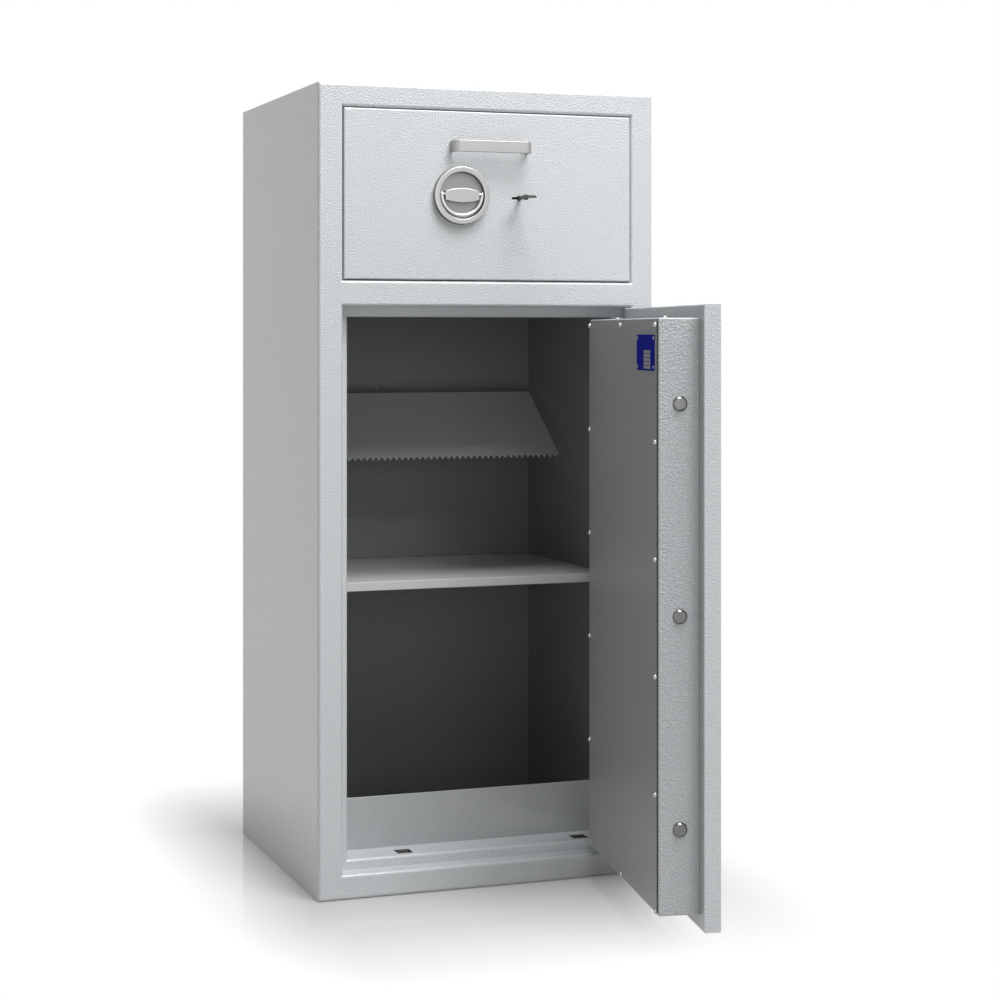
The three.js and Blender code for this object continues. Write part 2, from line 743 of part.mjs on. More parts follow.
// Drawer: front, tray with a sloping floor and an open pocket, handle, lock and pull
const drawerSheet = 2;
const runnerPastLip = 0.2;
const fixedRunner = lip + runnerPastLip;
const middleRunner = 5;
const runnerHalf = 18;
const runnerFrontGap = 4;
const runnerBackGap = 21;
const runnerRise = 24;
const trayFrontGap = 8;
const trayBottomGap = 2;
const trayTopGap = 14;
const trayBackGap = 8;
const slopeRise = 110;
const pocketLength = 136;
const trayFrontY = drawerBoltDepth + drawerBoltRadius + trayFrontGap;
const trayBottom = drawerClear[0] + trayBottomGap;
const slopeTop = trayBottom + slopeRise;
const trayX = [
  innerLeft + fixedRunner + running + middleRunner + running,
  innerRight - fixedRunner - running - middleRunner - running,
];
const runnerY = [frameDepth + runnerFrontGap, innerBack - runnerBackGap];
const runnerZ = about(drawerHandleZ + runnerRise, runnerHalf);

function addDrawerTray(drawer) {
  const trayY = [panelDepth + seat, innerBack - trayBackGap];
  const trayZ = [trayBottom, drawerClear[1] - trayTopGap];
  const insideX = inset(trayX, drawerSheet);
  const guardY = [trayY[1] - drawerSheet, trayY[1]];
  const slopeEnd = guardY[0] - pocketLength;
  const left = block([trayX[0], insideX[0]], trayY, trayZ);
  const right = block([insideX[1], trayX[1]], trayY, trayZ);
  const front = block(trayX, [trayFrontY, trayFrontY + drawerSheet], trayZ);
  const guard = block(trayX, guardY, trayZ);
  const slope = sidePlate(
    [
      [trayFrontY, slopeTop],
      [trayFrontY, slopeTop - drawerSheet],
      [slopeEnd - drawerSheet, trayBottom],
      [slopeEnd, trayBottom],
      [slopeEnd, trayBottom + drawerSheet],
    ],
    trayX,
  );
  const boltHoles = bore(
    "x",
    [trayX[0] - overrun, trayX[1] + overrun],
    [drawerBoltDepth, drawerBoltZ],
    drawerBoltRadius + running,
  );
  const tray = cut(join(left, right, front, guard, slope), boltHoles);
  add(drawer, "drawer_tray", tray, zinc);
}

// Runners: a fixed rail on each liner wall and a middle rail between it and the tray
function addRunners() {
  const fixedLeft = [innerLeft, innerLeft + fixedRunner];
  const fixedRight = [innerRight - fixedRunner, innerRight];
  const middleLeft = [fixedLeft[1] + running, fixedLeft[1] + running + middleRunner];
  const middleRight = [fixedRight[0] - running - middleRunner, fixedRight[0] - running];
  add(safe, "cabinet_runner_left", block(fixedLeft, runnerY, runnerZ), zinc);
  add(safe, "cabinet_runner_right", block(fixedRight, runnerY, runnerZ), zinc);
  add(safe, "middle_runner_left", block(middleLeft, runnerY, runnerZ), zinc);
  add(safe, "middle_runner_right", block(middleRight, runnerY, runnerZ), zinc);
}

// Pull handle: a flat strap bent into a bow and fixed flat on the drawer front
const pullLength = 128;
const pullStrap = 3.5;
const pullHeight = 18;
const pullReach = 25;
const pullRound = 11;
const pullRise = 75;

function addPull(drawer) {
  const [x0, x1] = about(panelMiddle, pullLength / 2);
  const inner = pullRound - pullStrap;
  const bow = new THREE.Shape();
  bow.moveTo(x0, -seat);
  bow.lineTo(x0, pullRound - pullReach);
  bow.absarc(x0 + pullRound, pullRound - pullReach, pullRound, Math.PI, Math.PI * 1.5, false);
  bow.absarc(x1 - pullRound, pullRound - pullReach, pullRound, Math.PI * 1.5, Math.PI * 2, false);
  bow.lineTo(x1, -seat);
  bow.lineTo(x1 - pullStrap, -seat);
  bow.lineTo(x1 - pullStrap, pullRound - pullReach);
  bow.absarc(x1 - pullRound, pullRound - pullReach, inner, 0, -Math.PI / 2, true);
  bow.absarc(x0 + pullRound, pullRound - pullReach, inner, Math.PI * 1.5, Math.PI, true);
  bow.lineTo(x0 + pullStrap, -seat);
  const strap = new THREE.ExtrudeGeometry(bow, {
    depth: pullHeight,
    curveSegments: roundSteps,
    bevelEnabled: false,
  });
  strap.translate(0, 0, drawerHandleZ + pullRise - pullHeight / 2);
  add(drawer, "drawer_pull", strap, nickel);
}

// Key: a round bow lying level, shank, collar and a double bit inside the lock
const keyReach = 31;
const keyCollar = 4.5;
const keyCollarLength = 3;
const keyBow = 12;
const keyBowThickness = 3.5;
const keyBitLength = 8;
const keyBitHeight = 3;
const keyBitHalf = 10;

function addKey(drawer) {
  const z = drawerHandleZ + keyRise;
  const tip = lockCaseY[1] - lockWall - running;
  const shank = rod("y", [-keyReach - keyBow / 2, tip], [keyX, z], keyRadius, 0, smallSides);
  const collar = rod("y", [-keyReach, keyCollarLength - keyReach], [keyX, z], keyCollar);
  const bow = rod("z", about(z, keyBowThickness / 2), [keyX, -keyReach - keyBow], keyBow);
  const bitStart = lockCaseY[0] + lockWall + running;
  const bitY = [bitStart, bitStart + keyBitLength];
  const bit = block(about(keyX, keyBitHalf), bitY, about(z, keyBitHeight / 2));
  add(drawer, "drawer_key", join(shank, collar, bow, bit), darkBrass);
}

function addDrawerBolt(drawer, side, outward) {
  const opening = outward < 0 ? panelX[0] : panelX[1];
  const tip = opening - outward * seat;
  const root = tip - outward * drawerBoltLength;
  const at = [drawerBoltDepth, drawerBoltZ];
  const ends = [tip, root].sort((a, b) => a - b);
  const pin = rod("x", ends, at, drawerBoltRadius, boltChamfer);
  const strapLevel = about(drawerBoltDepth + drawerBoltRadius - drawerSheet, drawerSheet);
  const tabOuter = handleX + outward * (camRadius + barEnd + strapHalf);
  const tabInner = handleX + outward * (camRadius + barEnd);
  const strapX = [root + outward * drawerBoltRadius, tabInner].sort((a, b) => a - b);
  const tabX = [tabOuter, tabInner].sort((a, b) => a - b);
  const strap = block(strapX, strapLevel, about(drawerBoltZ, drawerBoltRadius / 2));
  const tab = block(tabX, strapLevel, [drawerBoltZ, drawerHandleZ]);
  add(drawer, `drawer_bolt_${side}`, join(pin, strap, tab), steel);
}

function addDrawer() {
  const drawer = new THREE.Group();
  safe.add(drawer);
  add(drawer, "drawer_front", lockedPanel(panelX, drawerZ, drawerHandleZ), paint);
  addDrawerTray(drawer);
  addPull(drawer);
  add(drawer, "drawer_handle_rose", rose(drawerHandleZ), nickel);
  add(drawer, "drawer_handle_hub", hub(drawerHandleZ), nickel);
  add(drawer, "drawer_handle_bail", bail(drawerHandleZ), nickel);
  add(drawer, "drawer_lock_case", lockCase(drawerHandleZ), zinc);
  add(drawer, "drawer_lock_bolt", lockBolt(drawerHandleZ), zinc);
  addKey(drawer);
  addDrawerBolt(drawer, "left", -1);
  addDrawerBolt(drawer, "right", 1);
}

addFrontFrame();
addRebateBars();
addShell();
addLiner();
addSillPanel();
addDeck();
addChutePlate();
addShelf();
addPegs();
addRunners();
addDrawer();

// The door turns about its hinge pins; its pieces are drawn where they lie when it is shut
const hung = new THREE.Group();
hung.position.set(hingeX, hingeY, 0);
hung.rotation.z = THREE.MathUtils.degToRad(doorAngle);
const door = new THREE.Group();
door.position.set(-hingeX, -hingeY, 0);
hung.add(door);
safe.add(hung);
addHinges(door);
addDoor(door);
addSideBolts(door);
addEndBolts(door, "top", boxZ[1], 1);
addEndBolts(door, "bottom", boxZ[0], -1);

export default safe;
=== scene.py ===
import json
import math

import bmesh
import bpy
from mathutils import Matrix, Vector


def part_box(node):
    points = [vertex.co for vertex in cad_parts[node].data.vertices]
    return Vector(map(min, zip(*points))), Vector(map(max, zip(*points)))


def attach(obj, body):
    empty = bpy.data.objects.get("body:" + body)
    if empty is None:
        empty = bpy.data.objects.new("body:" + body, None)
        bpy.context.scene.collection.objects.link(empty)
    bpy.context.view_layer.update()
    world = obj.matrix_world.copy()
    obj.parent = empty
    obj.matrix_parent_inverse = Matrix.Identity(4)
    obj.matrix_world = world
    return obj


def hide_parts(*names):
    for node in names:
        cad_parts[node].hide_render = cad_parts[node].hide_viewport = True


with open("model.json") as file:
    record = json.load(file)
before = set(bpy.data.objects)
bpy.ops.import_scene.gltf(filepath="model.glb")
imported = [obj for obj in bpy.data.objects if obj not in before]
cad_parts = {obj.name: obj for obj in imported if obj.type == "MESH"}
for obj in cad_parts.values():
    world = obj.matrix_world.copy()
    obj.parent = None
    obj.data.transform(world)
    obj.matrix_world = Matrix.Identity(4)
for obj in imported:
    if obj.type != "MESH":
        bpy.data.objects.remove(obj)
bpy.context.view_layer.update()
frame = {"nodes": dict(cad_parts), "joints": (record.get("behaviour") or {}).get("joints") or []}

scene = bpy.context.scene
scene.view_settings.view_transform = "Standard"


# Camera. A long lens stands to the left of the safe, level with its upper half.
# Its picture is shifted down, so that the uprights stay upright as in the photograph.
lens_mm = 78.77
camera_place = (-1.158, -3.472, 0.8639)
camera_yaw_deg = 20.016
picture_shift = -0.165

camera_data = bpy.data.cameras.new("photo_camera")
camera_data.lens = lens_mm
camera_data.sensor_width = 36.0
camera_data.shift_y = picture_shift
camera = bpy.data.objects.new("photo_camera", camera_data)
camera.location = camera_place
camera.rotation_euler = (math.radians(90), 0, math.radians(-camera_yaw_deg))
scene.collection.objects.link(camera)
scene.camera = camera


# Studio. A soft key lamp stands in front on the right, high up, with two more overhead;
# weak ones fill the left and shine into the compartment. The white floor is lacquered,
# so that the safe mirrors in it near its base.
key_place = (1.1, -3.6, 3.9)
key_size = 1.2
key_watts = 56
top_place = (0.2, -1.3, 4.0)
top_size = 1.5
top_watts = 98
side_place = (1.3, -1.9, 3.8)
side_size = 1.5
side_watts = 45
fill_place = (-3.6, -1.2, 0.9)
fill_size = 2.6
fill_watts = 6
front_place = (-0.4, -4.2, 1.1)
front_size = 1.4
front_watts = 12
aim = Vector((0, -0.3, 0.6))
ambient_strength = 0.09
floor_size = 14
floor_drop = 0.0005
floor_grey = (0.50, 0.50, 0.50, 1)
floor_rough = 0.07
floor_shine = 0.75
base_half = (0.2775, 0.2475, 0)
side_stretch = (2.6, 1, 1)
shade_reach = 0.45
white_share = (0.12, 1.0)

def soft_lamp(name, place, size, watts):
    data = bpy.data.lights.new(name, "AREA")
    data.energy = watts
    data.size = size
    lamp = bpy.data.objects.new(name, data)
    lamp.location = place
    lamp.rotation_euler = (aim - Vector(place)).to_track_quat("-Z", "Y").to_euler()
    scene.collection.objects.link(lamp)

soft_lamp("key_lamp", key_place, key_size, key_watts)
soft_lamp("top_lamp", top_place, top_size, top_watts)
soft_lamp("side_lamp", side_place, side_size, side_watts)
soft_lamp("fill_lamp", fill_place, fill_size, fill_watts)
soft_lamp("front_lamp", front_place, front_size, front_watts)

world = bpy.data.worlds.new("studio")
scene.world = world
world.use_nodes = True
air = world.node_tree.nodes
air_links = world.node_tree.links
sky = air["Background"]
rays = air.new("ShaderNodeLightPath")
seen = air.new("ShaderNodeMath")
seen.operation = "MAXIMUM"
level = air.new("ShaderNodeMapRange")
level.inputs["To Min"].default_value = ambient_strength
level.inputs["To Max"].default_value = 1.0
sky.inputs["Color"].default_value = (1, 1, 1, 1)
air_links.new(rays.outputs["Is Camera Ray"], seen.inputs[0])
air_links.new(rays.outputs["Is Glossy Ray"], seen.inputs[1])
air_links.new(seen.outputs[0], level.inputs["Value"])
air_links.new(level.outputs["Result"], sky.inputs["Strength"])

floor_mesh = bmesh.new()
bmesh.ops.create_grid(floor_mesh, x_segments=1, y_segments=1, size=floor_size / 2)
floor_data = bpy.data.meshes.new("studio_floor")
floor_mesh.to_mesh(floor_data)
floor_mesh.free()
studio_floor = bpy.data.objects.new("studio_floor", floor_data)
studio_floor.location = (0, 0, -floor_drop)
scene.collection.objects.link(studio_floor)
floor_material = bpy.data.materials.new("pale_floor")
floor_material.use_nodes = True
floor_nodes = floor_material.node_tree.nodes
floor_links = floor_material.node_tree.links
lacquer = floor_nodes["Principled BSDF"]
lacquer.inputs["Base Color"].default_value = floor_grey
lacquer.inputs["Roughness"].default_value = floor_rough
lacquer.inputs["Specular IOR Level"].default_value = floor_shine
glow = floor_nodes.new("ShaderNodeEmission")
glow.inputs["Color"].default_value = (1, 1, 1, 1)
floor_rays = floor_nodes.new("ShaderNodeLightPath")
floor_place = floor_nodes.new("ShaderNodeTexCoord")
floor_side = floor_nodes.new("ShaderNodeVectorMath")
floor_side.operation = "ABSOLUTE"
floor_off = floor_nodes.new("ShaderNodeVectorMath")
floor_off.operation = "SUBTRACT"
floor_off.inputs[1].default_value = base_half
floor_out = floor_nodes.new("ShaderNodeVectorMath")
floor_out.operation = "MAXIMUM"
floor_out.inputs[1].default_value = (0, 0, 0)
floor_scale = floor_nodes.new("ShaderNodeVectorMath")
floor_scale.operation = "MULTIPLY"
floor_scale.inputs[1].default_value = side_stretch
floor_reach = floor_nodes.new("ShaderNodeVectorMath")
floor_reach.operation = "LENGTH"
floor_white = floor_nodes.new("ShaderNodeMapRange")
floor_white.inputs["From Max"].default_value = shade_reach
floor_white.inputs["To Min"].default_value = white_share[0]
floor_white.inputs["To Max"].default_value = white_share[1]
floor_seen = floor_nodes.new("ShaderNodeMath")
floor_seen.operation = "MAXIMUM"
share = floor_nodes.new("ShaderNodeMath")
share.operation = "MULTIPLY"
floor_mix = floor_nodes.new("ShaderNodeMixShader")
floor_links.new(floor_place.outputs["Object"], floor_side.inputs[0])
floor_links.new(floor_side.outputs[0], floor_off.inputs[0])
floor_links.new(floor_off.outputs[0], floor_out.inputs[0])
floor_links.new(floor_out.outputs[0], floor_scale.inputs[0])
floor_links.new(floor_scale.outputs[0], floor_reach.inputs[0])
floor_links.new(floor_reach.outputs["Value"], floor_white.inputs["Value"])
floor_links.new(floor_white.outputs["Result"], share.inputs[1])
floor_links.new(floor_rays.outputs["Is Camera Ray"], floor_seen.inputs[0])
floor_links.new(floor_rays.outputs["Is Glossy Ray"], floor_seen.inputs[1])
floor_links.new(floor_seen.outputs[0], share.inputs[0])
floor_links.new(share.outputs[0], floor_mix.inputs[0])
floor_links.new(lacquer.outputs[0], floor_mix.inputs[1])
floor_links.new(glow.outputs[0], floor_mix.inputs[2])
floor_links.new(floor_mix.outputs[0], floor_nodes["Material Output"].inputs["Surface"])
floor_data.materials.append(floor_material)


# Outer skin. Sheet steel is folded round the cabinet and closed by a back sheet,
# then baked with a stippled light grey powder paint whose pebbles are about 3 mm wide.
light_grey = (0.655, 0.680, 0.695, 1)
stipple_scale = 400
stipple_height = 0.0005
# Tone in the pebbles' hollows, a painted shade.
stipple_hollow_shade = 0.92
stipple_rough = 0.38
clear_coat = 0.65
clear_coat_rough = 0.14

def stipple_group():
    """Pebbled paint: a height, a tone and a roughness that vary with the pebbles; the tone darkens
    into the pebbles' hollows as painted shade.
    """
    tree = bpy.data.node_groups.new("paint_stipple", "ShaderNodeTree")
    tree.interface.new_socket("Scale", in_out="INPUT", socket_type="NodeSocketFloat")
    tree.interface.new_socket("Hollow Shade Low", in_out="INPUT", socket_type="NodeSocketFloat")
    tree.interface.new_socket("Rough", in_out="INPUT", socket_type="NodeSocketFloat")
    tree.interface.new_socket("Height", in_out="OUTPUT", socket_type="NodeSocketFloat")
    tree.interface.new_socket("Tone", in_out="OUTPUT", socket_type="NodeSocketFloat")
    tree.interface.new_socket("Roughness", in_out="OUTPUT", socket_type="NodeSocketFloat")
    nodes, links = tree.nodes, tree.links
    given = nodes.new("NodeGroupInput")
    result = nodes.new("NodeGroupOutput")
    place = nodes.new("ShaderNodeTexCoord")
    pebbles = nodes.new("ShaderNodeTexNoise")
    pebbles.inputs["Detail"].default_value = 2.5
    pebbles.inputs["Roughness"].default_value = 0.55
    cloud = nodes.new("ShaderNodeTexNoise")
    cloud.inputs["Scale"].default_value = 3.0
    cloud.inputs["Detail"].default_value = 2.0
    links.new(place.outputs["Object"], pebbles.inputs["Vector"])
    links.new(place.outputs["Object"], cloud.inputs["Vector"])
    links.new(given.outputs["Scale"], pebbles.inputs["Scale"])
    crest = nodes.new("ShaderNodeMapRange")
    crest.inputs["From Min"].default_value = 0.34
    crest.inputs["From Max"].default_value = 0.66
    links.new(pebbles.outputs["Fac"], crest.inputs["Value"])
    links.new(crest.outputs["Result"], result.inputs["Height"])
    # Painted shade: the tone darkens from the pebbles' crests down into their hollows.
    tone = nodes.new("ShaderNodeMapRange")
    tone.inputs["To Max"].default_value = 1.0
    links.new(crest.outputs["Result"], tone.inputs["Value"])
    links.new(given.outputs["Hollow Shade Low"], tone.inputs["To Min"])
    shade = nodes.new("ShaderNodeMapRange")
    shade.inputs["To Min"].default_value = 0.985
    shade.inputs["To Max"].default_value = 1.015
    links.new(cloud.outputs["Fac"], shade.inputs["Value"])
    both = nodes.new("ShaderNodeMath")
    both.operation = "MULTIPLY"
    links.new(tone.outputs["Result"], both.inputs[0])
    links.new(shade.outputs["Result"], both.inputs[1])
    links.new(both.outputs[0], result.inputs["Tone"])
    gloss = nodes.new("ShaderNodeMapRange")
    gloss.inputs["To Min"].default_value = 1.12
    gloss.inputs["To Max"].default_value = 0.88
    links.new(crest.outputs["Result"], gloss.inputs["Value"])
    rough = nodes.new("ShaderNodeMath")
    rough.operation = "MULTIPLY"
    links.new(gloss.outputs["Result"], rough.inputs[0])
    links.new(given.outputs["Rough"], rough.inputs[1])
    links.new(rough.outputs[0], result.inputs["Roughness"])
    return tree

paint_stipple = stipple_group()

def stippled_paint(name, colour, scale, height, hollow_shade_low, rough, coat_share=0.0):
    """A powder paint with the stipple in its height, tone and gloss."""
    material = bpy.data.materials.new(name)
    material.use_nodes = True
    nodes, links = material.node_tree.nodes, material.node_tree.links
    shader = nodes["Principled BSDF"]
    shader.inputs["Coat Weight"].default_value = coat_share
    shader.inputs["Coat Roughness"].default_value = clear_coat_rough
    grain = nodes.new("ShaderNodeGroup")
    grain.node_tree = paint_stipple
    grain.inputs["Scale"].default_value = scale
    grain.inputs["Hollow Shade Low"].default_value = hollow_shade_low
    grain.inputs["Rough"].default_value = rough
    tint = nodes.new("ShaderNodeMix")
    tint.data_type = "RGBA"
    tint.blend_type = "MULTIPLY"
    tint.inputs["Factor"].default_value = 1.0
    tint.inputs["A"].default_value = colour
    links.new(grain.outputs["Tone"], tint.inputs["B"])
    links.new(tint.outputs["Result"], shader.inputs["Base Color"])
    links.new(grain.outputs["Roughness"], shader.inputs["Roughness"])
    bump = nodes.new("ShaderNodeBump")
    bump.inputs["Distance"].default_value = height
    links.new(grain.outputs["Height"], bump.inputs["Height"])
    links.new(bump.outputs["Normal"], shader.inputs["Normal"])
    return material

case_paint = stippled_paint(
    "light_grey_stipple", light_grey, stipple_scale, stipple_height,
    stipple_hollow_shade, stipple_rough, clear_coat,
)

def coat(material, *nodes):
    """Paints the named CAD pieces."""
    for node in nodes:
        piece = frame["nodes"][node]
        piece.data.materials.clear()
        piece.data.materials.append(material)

coat(case_paint, "outer_casing", "back_panel")


# Front frame. Both openings are cut from one folded frame whose lips roll inwards
# on a 5 mm radius; it is welded to the wrap, ground flush and painted with it.
smooth_below = math.radians(34)
flat_below = math.radians(0.5)
merge_reach = 0.00002
same_place = 0.0001

def copy_of(node):
    """A merged copy of a CAD piece, its flat faces made whole."""
    shape = bmesh.new()
    shape.from_mesh(frame["nodes"][node].data)
    bmesh.ops.remove_doubles(shape, verts=shape.verts, dist=merge_reach)
    bmesh.ops.dissolve_limit(
        shape, angle_limit=flat_below, verts=shape.verts, edges=shape.edges
    )
    return shape

def settle(name, shape, material, body, slot, *nodes, smooth=smooth_below):
    """Turns a finished shape into a piece that rides on its body."""
    data = bpy.data.meshes.new(name)
    shape.to_mesh(data)
    shape.free()
    data.shade_smooth()
    data.set_sharp_from_angle(angle=smooth)
    data.materials.append(material)
    piece = bpy.data.objects.new(name, data)
    scene.collection.objects.link(piece)
    level_faces = piece.modifiers.new("level_faces", "WEIGHTED_NORMAL")
    level_faces.keep_sharp = True
    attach(piece, body)
    if nodes:
        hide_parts(*nodes)
    return piece

def part_mitres(piece, unturned=Matrix.Identity(4)):
    """Parts the smooth shading of rolled edges along the mitres where two of them meet."""
    points = [unturned @ v.co for v in piece.data.vertices]
    for edge in piece.data.edges:
        run = points[edge.vertices[0]] - points[edge.vertices[1]]
        if abs(run.x) > same_place and abs(run.z) > same_place:
            edge.use_edge_sharp = True

folded_frame = copy_of("front_frame")
part_mitres(
    settle("rolled_front_frame", folded_frame, case_paint, "cabinet", "paint", "front_frame")
)


# Second step of the door opening. Four painted bars form it, mitred in the corners;
# the left, top and bottom ones have square pockets that take the door's bolts,
# whose inner faces are painted near-black as painted shade for the pockets' depth.
painted_shade_dark = (0.012, 0.012, 0.012, 1)
skin_depth = 0.0015
rebate_bars = ("bolt_strike_left", "bolt_strike_top", "bolt_strike_bottom", "rebate_bar_right")

near_black_painted_shade = stippled_paint(
    "pocket_and_seam_painted_shade", painted_shade_dark, scale=300, height=0.0001, hollow_shade_low=0.8, rough=0.6
)
for node in rebate_bars:
    bar = copy_of(node)
    low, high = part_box(node)
    for face in bar.faces:
        middle = face.calc_center_median()
        depths = [min(middle[i] - low[i], high[i] - middle[i]) for i in range(3)]
        # Faces deeper than the skin, inside the pockets, take the near-black painted shade.
        face.material_index = int(min(depths) > skin_depth)
    painted = settle(f"painted_{node}", bar, case_paint, "cabinet", "paint", node)
    painted.data.materials.append(near_black_painted_shade)


# Inner skin. Smooth sheet panels line the compartment and the drawer bay,
# finished in a plain dark grey paint with hardly any stipple.
inner_grey = (0.250, 0.256, 0.260, 1)
fine_grain = {"scale": 900, "height": 0.00004, "hollow_shade_low": 0.97}
inner_paint = stippled_paint("dark_grey_lining", inner_grey, rough=0.5, **fine_grain)
coat(inner_paint, "liner_left", "liner_right", "liner_back", "liner_floor", "liner_roof")
coat(inner_paint, "drawer_deck")


# Barrier. The space between the skins is filled with a cement mix,
# seen only through the drawer's bolt slots.
barrier_grey = (0.33, 0.31, 0.28, 1)
barrier_mix = stippled_paint(
    "cement_barrier", barrier_grey, scale=160, height=0.0008, hollow_shade_low=0.7, rough=0.9
)
coat(barrier_mix, "barrier_fill", "deck_fill")


# Sill panel. A folded strip stands behind the sill and hides the lower floor;
# it is painted a shade darker than the outside and its cut top edge is broken by hand.
sill_edge = 0.0008
sill_grey = (0.46, 0.475, 0.485, 1)

def edge_round(shape, width, steps=2, over_deg=40):
    """Rounds the edges that are sharper than the given angle."""
    sharp = [e for e in shape.edges if len(e.link_faces) == 2]
    sharp = [e for e in sharp if e.calc_face_angle() > math.radians(over_deg)]
    bmesh.ops.bevel(
        shape, geom=sharp, offset=width, offset_type="OFFSET", segments=steps,
        profile=0.5, affect="EDGES", clamp_overlap=True, material=-1,
    )

sill = copy_of("sill_panel")
edge_round(sill, sill_edge)
sill_paint = stippled_paint(
    "sill_grey_stipple", sill_grey, stipple_scale, stipple_height,
    stipple_hollow_shade, stipple_rough, clear_coat,
)
settle("painted_sill_panel", sill, sill_paint, "cabinet", "paint", "sill_panel")


# Chute plate. It is laser cut with hooked teeth along its lower edge and folded once;
# low screws hold its upper flange. The slope's light grey is partly its own paint and partly
# painted light; the flange and its screws take the wall's darker paint as painted shade beside it.
gullet_band = (0.0030, 0.0055)
gullet_deeper = Vector((0, 0.0025, 0.0017))
chute_sheet = 0.002
chute_screw_radius = 0.003
chute_screw_rise = 0.001
chute_screw_drop = 0.009
chute_screw_share = (0.05, 0.23, 0.41, 0.59, 0.77, 0.95)
# Light grey of the slope, partly painted light.
chute_painted_light_grey = (0.78, 0.79, 0.795, 1)
screw_zinc_colour = (0.62, 0.63, 0.64, 1)
gloss_spread = (0.8, 1.2)
turn_merge = 0.000005
dome_foot = 0.35

def bare_metal(name, colour, rough, streak_scale, streak_low, stretch=(1, 1, 1)):
    """A metal whose gloss and tone vary with a fine streak."""
    material = bpy.data.materials.new(name)
    material.use_nodes = True
    nodes, links = material.node_tree.nodes, material.node_tree.links
    shader = nodes["Principled BSDF"]
    shader.inputs["Metallic"].default_value = 1.0
    place = nodes.new("ShaderNodeTexCoord")
    turn = nodes.new("ShaderNodeMapping")
    turn.inputs["Scale"].default_value = stretch
    streak = nodes.new("ShaderNodeTexNoise")
    streak.inputs["Scale"].default_value = streak_scale
    streak.inputs["Detail"].default_value = 3.0
    links.new(place.outputs["Object"], turn.inputs["Vector"])
    links.new(turn.outputs["Vector"], streak.inputs["Vector"])
    gloss = nodes.new("ShaderNodeMapRange")
    gloss.inputs["To Min"].default_value = rough * gloss_spread[0]
    gloss.inputs["To Max"].default_value = rough * gloss_spread[1]
    links.new(streak.outputs["Fac"], gloss.inputs["Value"])
    links.new(gloss.outputs["Result"], shader.inputs["Roughness"])
    tone = nodes.new("ShaderNodeMapRange")
    tone.inputs["To Min"].default_value = streak_low
    tone.inputs["To Max"].default_value = 1.0
    links.new(streak.outputs["Fac"], tone.inputs["Value"])
    tint = nodes.new("ShaderNodeMix")
    tint.data_type = "RGBA"
    tint.blend_type = "MULTIPLY"
    tint.inputs["Factor"].default_value = 1.0
    tint.inputs["A"].default_value = colour
    links.new(tone.outputs["Result"], tint.inputs["B"])
    links.new(tint.outputs["Result"], shader.inputs["Base Color"])
    return material

bright_zinc = bare_metal(
    "bright_zinc", screw_zinc_colour, rough=0.32, streak_scale=400, streak_low=0.85
)

def turned_shape(profile, steps):
    """A shape turned round Y from pairs of radius and place, both in metres."""
    shape = bmesh.new()
    verts = [shape.verts.new((radius, place, 0)) for radius, place in profile]
    edges = [shape.edges.new(pair) for pair in zip(verts, verts[1:])]
    bmesh.ops.spin(
        shape, geom=verts + edges, cent=(0, 0, 0), axis=(0, 1, 0),
        angle=math.tau, steps=steps, use_merge=True,
    )
    bmesh.ops.remove_doubles(shape, verts=shape.verts, dist=turn_merge)
    bmesh.ops.recalc_face_normals(shape, faces=shape.faces)
    return shape

def add_shape(whole, part, matrix):
    """Puts a copy of a small shape into a larger one."""
    data = bpy.data.meshes.new("part")
    part.to_mesh(data)
    data.transform(matrix)
    whole.from_mesh(data)
    bpy.data.meshes.remove(data)

def dome_head(radius, rise, steps=20):
    """A domed screw head that stands on the plane Y = 0 and looks to -Y."""
    arc = [math.radians(a) for a in (0, 22, 45, 68)]
    profile = [(0, 0), (radius, 0)]
    for a in arc:
        height = rise * (dome_foot + (1 - dome_foot) * math.sin(a))
        profile.append((radius * math.cos(a), -height))
    return turned_shape(profile + [(0, -rise)], steps)

chute = copy_of("chute_plate")
low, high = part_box("chute_plate")
gullets = [v for v in chute.verts if gullet_band[0] < v.co.z - low[2] < gullet_band[1]]
bmesh.ops.translate(chute, vec=gullet_deeper, verts=gullets)
# The flange's faces take the wall's darker paint, painted shade beside the lighter slope.
for face in chute.faces:
    on_wall = face.calc_center_median().y > high[1] - chute_sheet - same_place
    face.material_index = int(on_wall)
chute_painted_light = stippled_paint("chute_painted_light_grey", chute_painted_light_grey, rough=0.45, **fine_grain)
plate_piece = settle(
    "toothed_chute_plate", chute, chute_painted_light, "cabinet", "inner_paint", "chute_plate"
)
plate_piece.data.materials.append(inner_paint)
chute_screws = bmesh.new()
chute_head = dome_head(chute_screw_radius, chute_screw_rise)
for across in chute_screw_share:
    x = low[0] + across * (high[0] - low[0])
    spot = Matrix.Translation((x, high[1] - chute_sheet, high[2] - chute_screw_drop))
    add_shape(chute_screws, chute_head, spot)
chute_head.free()
settle("chute_screws", chute_screws, inner_paint, "cabinet", "inner_paint")


# Shelf. A light grey sheet with its four edges folded down rests on four turned pegs,
# which plug into the rows of holes in the side walls.
shelf_round = 0.00088
shelf_grey = (0.60, 0.61, 0.60, 1)
peg_edge = 0.0004
peg_smooth_below = math.radians(50)

shelf_paint = stippled_paint(
    "shelf_paint", shelf_grey, scale=800, height=0.00005, hollow_shade_low=0.97, rough=0.42
)
shelf = copy_of("shelf")
edge_round(shelf, shelf_round, steps=3)
settle("folded_shelf", shelf, shelf_paint, "cabinet", "paint", "shelf")
for node in [n for n in frame["nodes"] if n.startswith("shelf_peg")]:
    peg = copy_of(node)
    edge_round(peg, peg_edge, over_deg=60)
    settle(
        f"turned_{node}", peg, bright_zinc, "cabinet", "zinc_steel", node,
        smooth=peg_smooth_below,
    )


